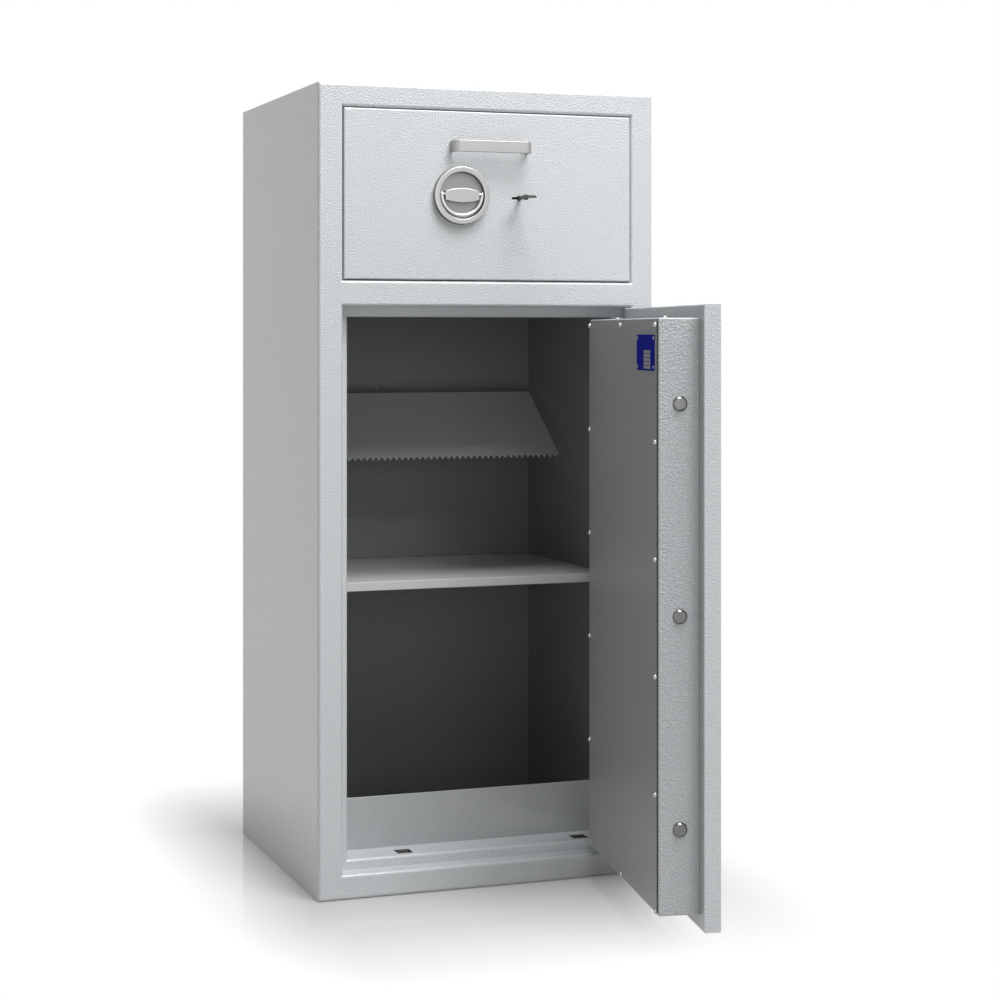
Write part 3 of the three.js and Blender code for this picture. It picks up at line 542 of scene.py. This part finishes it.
# Hinges. Two lift-off pairs carry the door: painted knuckles, a pin that stands
# in the lower one, and a leaf that is welded on the door's face.
knuckle_edge = 0.0005

for node in [n for n in frame["nodes"] if "_hinge_" in n]:
    knuckle = copy_of(node)
    edge_round(knuckle, knuckle_edge, over_deg=55)
    owner = "door" if node.startswith("door") else "cabinet"
    settle(f"painted_{node}", knuckle, case_paint, owner, "paint", node)


# Door slab and bolt box. The slab is a folded plate with a stippled finish; the box on its
# inner face is a tray of bent sheet. Box and inner face take a darker copy of the outside paint as
# painted shade.
slab_fold = 0.002
box_round = 0.0024
corner_round = 0.0028
# A darker copy of the light grey, painted shade on the door's inner side.
box_painted_shade_grey = (0.515, 0.537, 0.551, 1)
box_stipple_scale = 330
box_stipple_height = 0.0009
box_stipple_hollow_shade = 0.88
squarely = 0.99
rim_slack = 0.0002
# Places on the door are those of the shut door.
box_x = (-0.2140, 0.2285)
box_z = (0.0590, 0.8880)
door_face_y = -0.2475
cover_y = -0.1620

hinge = next(j for j in frame["joints"] if j["name"] == "door_hinge")
door_open_deg = -hinge["range_deg"][0]
hinge_line = Vector(hinge["pos_m"])
door_swing = (
    Matrix.Translation(hinge_line)
    @ Matrix.Rotation(math.radians(door_open_deg), 4, "Z")
    @ Matrix.Translation(-hinge_line)
)
slab = copy_of("door_slab")
bmesh.ops.transform(slab, matrix=door_swing.inverted(), verts=slab.verts)
slab_back = max(v.co.y for v in slab.verts)
slab_ends = [pick(v.co.x for v in slab.verts) for pick in (min, max)]
slab_tips = [pick(v.co.z for v in slab.verts) for pick in (min, max)]
back_rim = [
    e for e in slab.edges
    if all(v.co.y > slab_back - same_place for v in e.verts)
    and (
        any(all(abs(v.co.x - x) < same_place for v in e.verts) for x in slab_ends)
        or any(all(abs(v.co.z - z) < same_place for v in e.verts) for z in slab_tips)
    )
]
bmesh.ops.bevel(
    slab, geom=back_rim, offset=slab_fold, offset_type="OFFSET", segments=4,
    profile=0.5, affect="EDGES", material=-1,
)
slab.normal_update()
# The slab's inner face takes the box's darker paint as painted shade.
for face in slab.faces:
    face.material_index = int(face.normal.y > squarely)
bmesh.ops.transform(slab, matrix=door_swing, verts=slab.verts)
slab_piece = settle("painted_door_slab", slab, case_paint, "door", "paint", "door_slab")
part_mitres(slab_piece, door_swing.inverted())
box_painted_shade = stippled_paint(
    "door_box_painted_shade_stipple", box_painted_shade_grey, box_stipple_scale, box_stipple_height,
    box_stipple_hollow_shade, stipple_rough, clear_coat,
)
slab_piece.data.materials.append(box_painted_shade)

def slab_shape(x, y, z):
    """A plain block between three pairs of places."""
    shape = bmesh.new()
    size = Matrix.Diagonal((x[1] - x[0], y[1] - y[0], z[1] - z[0], 1))
    middle = Matrix.Translation(((x[0] + x[1]) / 2, (y[0] + y[1]) / 2, (z[0] + z[1]) / 2))
    bmesh.ops.create_cube(shape, size=1.0, matrix=middle @ size)
    return shape

def soften(shape, chosen, width, steps=4):
    """Rounds the chosen edges."""
    bmesh.ops.bevel(
        shape, geom=chosen, offset=width, offset_type="OFFSET", segments=steps,
        profile=0.5, affect="EDGES", material=-1,
    )

def corner_edges(shape, x, z):
    """The edges along Y in the four corners of an outline."""
    found = []
    for edge in shape.edges:
        a, b = (v.co for v in edge.verts)
        along = abs(a.x - b.x) < same_place and abs(a.z - b.z) < same_place
        off = max(min(abs(a.x - c) for c in x), min(abs(a.z - c) for c in z))
        if along and off < 2 * same_place:
            found.append(edge)
    return found

bolt_box = copy_of("door_bolt_box")
bmesh.ops.transform(bolt_box, matrix=door_swing.inverted(), verts=bolt_box.verts)
box_mouth = max(v.co.y for v in bolt_box.verts)
mouth_rim = [v for v in bolt_box.verts if v.co.y > box_mouth - same_place]
bmesh.ops.translate(bolt_box, vec=(0, -box_round, 0), verts=mouth_rim)
soften(bolt_box, corner_edges(bolt_box, box_x, box_z), corner_round)
box_face = slab_shape(box_x, (box_mouth - box_round, box_mouth), box_z)
soften(box_face, corner_edges(box_face, box_x, box_z), corner_round)
face_rim = [
    e for e in box_face.edges if all(v.co.y > box_mouth - same_place for v in e.verts)
]
soften(box_face, face_rim, box_round - rim_slack, 6)
add_shape(bolt_box, box_face, Matrix.Identity(4))
box_face.free()
bmesh.ops.transform(bolt_box, matrix=door_swing, verts=bolt_box.verts)
settle("painted_bolt_box", bolt_box, box_painted_shade, "door", "paint", "door_bolt_box")


# Door cover. A smooth darker sheet closes the bolt box, its cut edges painted near-black as painted
# shade in the seam.
# Fourteen domed screws hold it, in two columns and one each in the middle at the top and the
# bottom;
# the lowest have flatter heads, which pass the sill panel when the door shuts.
cover_grey = (0.43, 0.433, 0.434, 1)
cover_edge = 0.0005
cover_corner = 0.002
half_turned = 0.5
screw_grey = (0.42, 0.42, 0.42, 1)
screw_radius = 0.0042
screw_rise = 0.0042
low_screw_rise = 0.0022
screw_inset = 0.0092
cover_inset = 0.004
screw_z = (0.8780, 0.7150, 0.5520, 0.3895, 0.2260, 0.0645)

cover_paint = stippled_paint(
    "cover_grey_satin", cover_grey, scale=1200, height=0.00002, hollow_shade_low=0.98, rough=0.38
)
cover_x = (box_x[0] + cover_inset, box_x[1] - cover_inset)
cover_z = (box_z[0] + cover_inset, box_z[1] - cover_inset)
cover = slab_shape(cover_x, (box_mouth, cover_y), cover_z)
soften(cover, corner_edges(cover, cover_x, cover_z), cover_corner, 3)
edge_round(cover, cover_edge)
cover.normal_update()
# The cover's edge faces take the near-black painted shade of the seam.
for face in cover.faces:
    face.material_index = int(abs(face.normal.y) < half_turned)
bmesh.ops.transform(cover, matrix=door_swing, verts=cover.verts)
cover_piece = settle(
    "door_cover_sheet", cover, cover_paint, "door", "cover_paint", "door_cover"
)
cover_piece.data.materials.append(near_black_painted_shade)

cover_screws = bmesh.new()
cover_head = dome_head(screw_radius, screw_rise, steps=24)
low_head = dome_head(screw_radius, low_screw_rise, steps=24)
head_out = Matrix.Rotation(math.pi, 4, "Z")
screw_columns = (box_x[0] + screw_inset, box_x[1] - screw_inset)
screw_spots = [(x, z) for x in screw_columns for z in screw_z]
screw_spots += [((box_x[0] + box_x[1]) / 2, z) for z in (screw_z[0], screw_z[-1])]
for x, z in screw_spots:
    head = low_head if z == screw_z[-1] else cover_head
    spot = door_swing @ Matrix.Translation((x, cover_y, z)) @ head_out
    add_shape(cover_screws, head, spot)
cover_head.free()
low_head.free()
screw_steel = bare_metal(
    "polished_screw_steel", screw_grey, rough=0.2, streak_scale=400, streak_low=0.85
)
settle("cover_screws", cover_screws, screw_steel, "door", "zinc_steel")


# Data plate. A thin blue anodised plate is riveted on the cover in its upper corner;
# it is bare but for a column of empty grey fields.
plate_blue = (0.0008, 0.0060, 0.30, 1)
plate_shine = 0.08
blank_grey = (0.40, 0.38, 0.36, 1)
plate_x = (-0.1995, -0.0965)
plate_z = (0.8140, 0.8645)
plate_thick = 0.0008
plate_corner = 0.002
plate_edge = 0.0001
field_x = (-0.1770, -0.1380)
field_z = (0.8165, 0.8435)
field_count = 5
field_gap = 0.001
field_thick = 0.0001
rivet_inset = 0.005
rivet_radius = 0.0024
rivet_rise = 0.0008

def plain_finish(name, colour, rough, fleck, shine=0.5):
    """A thin even finish without metal's gloss, with a faint fleck."""
    material = bare_metal(name, colour, rough, streak_scale=700, streak_low=fleck)
    shader = material.node_tree.nodes["Principled BSDF"]
    shader.inputs["Metallic"].default_value = 0.0
    shader.inputs["Specular IOR Level"].default_value = shine
    return material

anodised_blue = plain_finish("anodised_blue", plate_blue, rough=0.55, fleck=0.85, shine=plate_shine)
field_grey = plain_finish("blank_field_grey", blank_grey, rough=0.5, fleck=0.9)

plate_y = (cover_y, cover_y + plate_thick)
plate = slab_shape(plate_x, plate_y, plate_z)
soften(plate, corner_edges(plate, plate_x, plate_z), plate_corner)
edge_round(plate, plate_edge, steps=1, over_deg=60)
bmesh.ops.transform(plate, matrix=door_swing, verts=plate.verts)
settle("blue_data_plate", plate, anodised_blue, "door", "cover_paint")

fields = bmesh.new()
field_pitch = (field_z[1] - field_z[0]) / field_count
for row in range(field_count):
    bottom = field_z[0] + row * field_pitch
    field = slab_shape(
        field_x, (plate_y[1], plate_y[1] + field_thick), (bottom, bottom + field_pitch - field_gap)
    )
    add_shape(fields, field, door_swing)
    field.free()
settle("blank_plate_fields", fields, field_grey, "door", "cover_paint")

rivets = bmesh.new()
rivet = dome_head(rivet_radius, rivet_rise, steps=16)
for x in (plate_x[0] + rivet_inset, plate_x[1] - rivet_inset):
    for z in (plate_z[0] + rivet_inset, plate_z[1] - rivet_inset):
        spot = door_swing @ Matrix.Translation((x, plate_y[1], z)) @ head_out
        add_shape(rivets, rivet, spot)
rivet.free()
settle("plate_rivets", rivets, bright_zinc, "door", "zinc_steel")


# Bolts. Round ground steel bars with turned chamfers pass through the box walls;
# inside they stand on flat zinc-plated bars that the handle's cam moves.
bolt_steel_colour = (0.19, 0.192, 0.192, 1)
plated_colour = (0.52, 0.53, 0.54, 1)
bolt_radius = 0.010
bolt_length = 0.025
bolt_chamfer = 0.002
bolt_break = 0.0003
bolt_crown = 0.0001
bolt_sides = 48
side_bolt_shown = 0.004
end_bolt_shown = 0.0035
bolt_y = -0.1945
side_share = 0.356
end_shares = (0.2, 0.869)

bolt_steel = bare_metal(
    "ground_bolt_steel", bolt_steel_colour, rough=0.24, streak_scale=260, streak_low=0.82
)
plated_steel = bare_metal(
    "zinc_plated_steel", plated_colour, rough=0.42, streak_scale=90, streak_low=0.8
)

def bolt_shape():
    """A bolt along Y whose chamfered tip lies at the origin and looks to -Y."""
    profile = [
        (0, 0), (bolt_radius - bolt_chamfer - bolt_break, 0),
        (bolt_radius - bolt_chamfer, bolt_crown), (bolt_radius - bolt_crown, bolt_chamfer),
        (bolt_radius, bolt_chamfer + bolt_break), (bolt_radius, bolt_length), (0, bolt_length),
    ]
    return turned_shape(profile, bolt_sides)

def set_bolt(node, tip, aim_matrix, body):
    """Puts a bolt in the place of its CAD piece, its tip where the box shows it."""
    bolt = bolt_shape()
    bmesh.ops.transform(
        bolt, matrix=door_swing @ Matrix.Translation(tip) @ aim_matrix, verts=bolt.verts
    )
    settle(f"ground_{node}", bolt, bolt_steel, body, "bolt_steel", node)

box_middle = (box_z[0] + box_z[1]) / 2
side_pitch = side_share * (box_z[1] - box_z[0])
to_left = Matrix.Rotation(math.radians(-90), 4, "Z")
upward = Matrix.Rotation(math.radians(-90), 4, "X")
downward = Matrix.Rotation(math.radians(90), 4, "X")
for name, step in (("lower", -1), ("middle", 0), ("upper", 1)):
    tip = (box_x[0] - side_bolt_shown, bolt_y, box_middle + step * side_pitch)
    set_bolt(f"side_bolt_{name}", tip, to_left, "side_bolts")
for name, along in zip(("near", "far"), end_shares):
    x = box_x[0] + along * (box_x[1] - box_x[0])
    top_tip = (x, bolt_y, box_z[1] + end_bolt_shown)
    bottom_tip = (x, bolt_y, box_z[0] - end_bolt_shown)
    set_bolt(f"top_bolt_{name}", top_tip, upward, "top_bolts")
    set_bolt(f"bottom_bolt_{name}", bottom_tip, downward, "bottom_bolts")
coat(plated_steel, "side_bolt_bar", "top_bolt_bar", "bottom_bolt_bar")
coat(plated_steel, "door_lock_case", "door_lock_bolt", "drawer_lock_case", "drawer_lock_bolt")


# Ring handles. A satin nickel rose is fixed on the panel; in its recess turns a hub
# with a lens-shaped bridge, and a bail hangs from the bridge, folded flat.
rose_radius = 0.0455
rose_inner = 0.0365
rose_depth = 0.010
rose_slope = 0.0018
rose_break = 0.0006
inner_slope = 0.0012
inner_break = 0.0004
panel_gap = 0.0003
rim_facing = 0.6
round_sides = 96
hub_radius = 0.036
hub_face = 0.002
spindle_radius = 0.008
disc_radius = 0.022
disc_y = (0.054, 0.060)
bridge_half = 0.028
bridge_high = 0.0115
bridge_end = 0.007
bridge_break = 0.0016
bridge_steps = 12
bail_radius = 0.033
bail_rod = 0.0031
bail_rise = 0.002
bail_depth = 0.006
ear_shares = (0.6, 0.35, 0.7)
pin_radius = 0.002
pin_length = 0.0095
pin_reach = 0.005
tick_half = 0.0004
tick_rise = 0.00005
tick_z = (0.038, 0.0432)
handle_x = -0.0485
handle_z = {"drawer": 1.081, "door": 0.57704}
rose_colour = (0.48, 0.478, 0.474, 1)
bail_painted_light_colour = (0.60, 0.598, 0.592, 1)
hub_and_shade_colour = (0.28, 0.277, 0.275, 1)

satin_nickel = bare_metal(
    "satin_nickel", rose_colour, rough=0.33, streak_scale=500, streak_low=0.93
)
# The bail's nickel is a lighter copy of the rose's, its lighter tone standing in for light on the
# rod.
bail_painted_light_nickel = bare_metal(
    "nickel_lightened_for_light", bail_painted_light_colour, rough=0.30, streak_scale=500, streak_low=0.93
)
# Darker nickel of the hub, also used as painted shade on the rose's outer side wall and in the
# index tick's groove.
hub_nickel_and_painted_shade = bare_metal("recess_nickel_and_painted_shade", hub_and_shade_colour, rough=0.45, streak_scale=500, streak_low=0.9)

def rose_shape():
    """The fixed ring, its outer rim sloped and its inner rim broken."""
    profile = [
        (rose_inner, -panel_gap), (rose_radius, -panel_gap),
        (rose_radius, rose_slope - rose_depth),
        (rose_radius - rose_break, rose_break - rose_depth),
        (rose_radius - rose_slope, -rose_depth), (rose_inner + inner_slope, -rose_depth),
        (rose_inner + inner_break, inner_break - rose_depth),
        (rose_inner, inner_slope - rose_depth), (rose_inner, -panel_gap),
    ]
    return turned_shape(profile, round_sides)

def hub_shape():
    """The turning disc with its spindle and the locking disc at the spindle's end."""
    profile = [
        (0, -hub_face), (hub_radius - inner_break, -hub_face),
        (hub_radius, panel_gap - hub_face), (hub_radius, -panel_gap),
        (spindle_radius, -panel_gap), (spindle_radius, disc_y[0]),
        (disc_radius, disc_y[0]), (disc_radius, disc_y[1]), (0, disc_y[1]),
    ]
    return turned_shape(profile, round_sides)

def bridge_shape():
    """Two shallow arcs between straight ends, drawn flat, then pulled out and chamfered."""
    rise = bridge_high - bridge_end
    radius = (bridge_half**2 + rise**2) / (2 * rise)
    sweep = math.asin(bridge_half / radius)
    upper = []
    for i in range(bridge_steps + 1):
        angle = sweep - 2 * sweep * i / bridge_steps
        upper.append((radius * math.sin(angle), bridge_high - radius + radius * math.cos(angle)))
    lower = [(-x, -z) for x, z in upper]
    shape = bmesh.new()
    rim = [shape.verts.new((x, -hub_face / 2, z)) for x, z in upper + lower]
    face = shape.faces.new(rim)
    pulled = bmesh.ops.extrude_face_region(shape, geom=[face])["geom"]
    moved = [v for v in pulled if isinstance(v, bmesh.types.BMVert)]
    bmesh.ops.translate(shape, vec=(0, hub_face / 2 - rose_depth, 0), verts=moved)
    bmesh.ops.recalc_face_normals(shape, faces=shape.faces)
    front = [e for e in shape.edges if all(v in moved for v in e.verts)]
    soften(shape, front, bridge_break, 2)
    return shape

def bail_shape():
    """Half a ring of round rod, its ends carried up into ears with inward pins."""
    ear_rise, crown_rise, crown_width = ear_shares
    shape = bmesh.new()
    start = Matrix.Translation((bail_radius, -bail_depth, bail_rise))
    section = bmesh.ops.create_circle(shape, segments=20, radius=bail_rod, matrix=start)["verts"]
    edges = list({e for v in section for e in v.link_edges})
    swept = bmesh.ops.spin(
        shape, geom=section + edges, cent=(0, 0, bail_rise), axis=(0, 1, 0),
        angle=math.pi, steps=48,
    )["geom_last"]
    last_edges = [g for g in swept if isinstance(g, bmesh.types.BMEdge)]
    for ring in (edges, last_edges):
        lifted = bmesh.ops.extrude_edge_only(shape, edges=ring)["geom"]
        tops = [v for v in lifted if isinstance(v, bmesh.types.BMVert)]
        bmesh.ops.translate(shape, vec=(0, 0, bail_rod * ear_rise), verts=tops)
        rims = [e for e in lifted if isinstance(e, bmesh.types.BMEdge)]
        domed = bmesh.ops.extrude_edge_only(shape, edges=rims)["geom"]
        crowns = [v for v in domed if isinstance(v, bmesh.types.BMVert)]
        centre = sum((v.co for v in crowns), Vector()) / len(crowns)
        for v in crowns:
            v.co = centre + (v.co - centre) * crown_width
            v.co.z += bail_rod * crown_rise
        open_end = [e for e in domed if isinstance(e, bmesh.types.BMEdge)]
        bmesh.ops.contextual_create(shape, geom=open_end)
    pin = turned_shape([(0, 0), (pin_radius, 0), (pin_radius, pin_length), (0, pin_length)], 16)
    inward = Matrix.Rotation(math.radians(90), 4, "Z")
    for side in (1, -1):
        spot = Matrix.Translation((side * (bridge_half + pin_reach), -bail_depth, bail_rise))
        turn = inward if side > 0 else inward.inverted()
        add_shape(shape, pin, spot @ turn)
    pin.free()
    bmesh.ops.recalc_face_normals(shape, faces=shape.faces)
    return shape

def ring_handle(panel, swing):
    """The whole handle of one panel, in the place where its CAD pieces are."""
    place = swing @ Matrix.Translation((handle_x, door_face_y, handle_z[panel]))
    rose = rose_shape()
    # The rose's outer side wall takes the darker nickel as painted shade.
    for face in rose.faces:
        middle = face.calc_center_median()
        outer = math.hypot(middle.x, middle.z) > rose_radius - rose_break
        face.material_index = int(outer and abs(face.normal.y) < rim_facing)
    parts = (
        ("rose", rose, satin_nickel, panel),
        ("hub", hub_shape(), hub_nickel_and_painted_shade, f"{panel}_handle"),
        ("bail", bail_shape(), bail_painted_light_nickel, f"{panel}_bail"),
    )
    for part, shape, material, body in parts:
        bmesh.ops.transform(shape, matrix=place, verts=shape.verts)
        node = f"{panel}_handle_{part}"
        piece = settle(f"satin_{node}", shape, material, body, "handle_nickel", node)
        if part == "rose":
            piece.data.materials.append(hub_nickel_and_painted_shade)
    bridge = bridge_shape()
    bmesh.ops.transform(bridge, matrix=place, verts=bridge.verts)
    settle(f"{panel}_handle_bridge", bridge, satin_nickel, f"{panel}_handle", "handle_nickel")
    # The index tick is a groove drawn as a dark sliver of the darker nickel, a painted shade.
    tick = slab_shape(
        (-tick_half, tick_half), (-rose_depth - tick_rise, panel_gap - rose_depth), tick_z
    )
    bmesh.ops.transform(tick, matrix=place, verts=tick.verts)
    settle(f"{panel}_rose_index", tick, hub_nickel_and_painted_shade, panel, "handle_nickel")

ring_handle("door", door_swing)
ring_handle("drawer", Matrix.Identity(4))


# Drawer front. A folded plate like the door's slab, drilled for the handle's spindle
# and for the key; it shuts flush with the frame.
folded_front = copy_of("drawer_front")
part_mitres(
    settle("painted_drawer_front", folded_front, case_paint, "drawer", "paint", "drawer_front")
)


# Pull. A strap of satin steel is bent into a bow with two round corners;
# its feet stand on the drawer front and its long edges are broken.
pull_x = (-0.0658, 0.0629)
pull_z = (1.1479, 1.1661)
pull_strap = 0.0035
pull_reach = 0.025
pull_round = 0.011
pull_edge = 0.001
pull_merge = 0.00001
bend_steps = 14
pull_colour = (0.41, 0.404, 0.40, 1)
pull_grain = (2, 20, 20)

pull = bmesh.new()
foot_y = door_face_y - panel_gap
foot = [pull.verts.new((pull_x[0], foot_y, z)) for z in pull_z]
foot += [pull.verts.new((pull_x[0] + pull_strap, foot_y, z)) for z in reversed(pull_z)]
pull_face = pull.faces.new(foot)
leg = pull_reach - pull_round - panel_gap
span = pull_x[1] - pull_x[0] - 2 * pull_round

def drawn(shape, face, offset):
    """Pulls a face out straight and gives back the new end face."""
    grown = bmesh.ops.extrude_discrete_faces(shape, faces=[face])["faces"][0]
    bmesh.ops.translate(shape, vec=offset, verts=grown.verts)
    return grown

def bent(shape, face, centre, turn):
    """Sweeps a face round an upright line and gives back the new end face."""
    for _ in range(bend_steps):
        grown = bmesh.ops.extrude_discrete_faces(shape, faces=[face])["faces"][0]
        bmesh.ops.rotate(
            shape, cent=centre, matrix=Matrix.Rotation(turn / bend_steps, 3, "Z"),
            verts=grown.verts,
        )
        face = grown
    return face

end = drawn(pull, pull_face, (0, -leg, 0))
bmesh.ops.contextual_create(pull, geom=foot)
corner_y = foot_y - leg
end = bent(pull, end, (pull_x[0] + pull_round, corner_y, 0), math.radians(90))
end = drawn(pull, end, (span, 0, 0))
end = bent(pull, end, (pull_x[1] - pull_round, corner_y, 0), math.radians(90))
drawn(pull, end, (0, leg, 0))
bmesh.ops.remove_doubles(pull, verts=pull.verts, dist=pull_merge)
bmesh.ops.recalc_face_normals(pull, faces=pull.faces)
edge_round(pull, pull_edge, steps=3, over_deg=60)
pull_steel = bare_metal(
    "satin_pull_steel", pull_colour, rough=0.48, streak_scale=30, streak_low=0.94,
    stretch=pull_grain,
)
settle("bent_drawer_pull", pull, pull_steel, "drawer", "handle_nickel", "drawer_pull")


# Key. A double-bitted key of dark steel stands in the drawer's lock,
# its round bow lying level, with a small hole for a ring.
key_x = 0.049
key_z = 1.079
key_colour = (0.115, 0.12, 0.11, 1)
shank_profile = [(0, -0.033), (0.003, -0.033), (0.003, 0.0430), (0, 0.0430)]
collar_profile = [
    (0, -0.031), (0.0039, -0.031), (0.0045, -0.0304), (0.0045, -0.0286), (0.0039, -0.028),
    (0, -0.028),
]
bow_profile = [
    (0.0032, -0.0011), (0.0040, -0.00175), (0.0110, -0.00175), (0.012, -0.0009),
    (0.012, 0.0009), (0.0110, 0.00175), (0.0040, 0.00175), (0.0032, 0.0011),
    (0.0032, -0.0011),
]
bow_y = -0.043
bit_x = (-0.010, 0.010)
bit_y = (0.0272, 0.0352)
bit_z = (-0.0015, 0.0015)

key_dark = bare_metal(
    "darkened_key_steel", key_colour, rough=0.3, streak_scale=300, streak_low=0.75
)
key = bmesh.new()
shank = turned_shape(shank_profile, 20)
collar = turned_shape(collar_profile, 28)
bow = turned_shape(bow_profile, 40)
bit = slab_shape(bit_x, bit_y, bit_z)
key_place = Matrix.Translation((key_x, door_face_y, key_z))
add_shape(key, shank, key_place)
add_shape(key, collar, key_place)
flat = Matrix.Rotation(math.radians(90), 4, "X")
add_shape(key, bow, key_place @ Matrix.Translation((0, bow_y, 0)) @ flat)
add_shape(key, bit, key_place)
for part in (shank, collar, bow, bit):
    part.free()
settle("double_bitted_key", key, key_dark, "key", "key_brass", "drawer_key")


# Drawer tray. A box of galvanised sheet with a sloping floor and a bottomless pocket
# at the back; it runs on flat telescopic rails beside it.
galvanised_colour = (0.55, 0.56, 0.57, 1)
galvanised = bare_metal(
    "galvanised_sheet", galvanised_colour, rough=0.45, streak_scale=60, streak_low=0.82
)
coat(galvanised, "drawer_tray")
coat(plated_steel, "cabinet_runner_left", "cabinet_runner_right")
coat(plated_steel, "middle_runner_left", "middle_runner_right")
coat(bolt_steel, "drawer_bolt_left", "drawer_bolt_right")
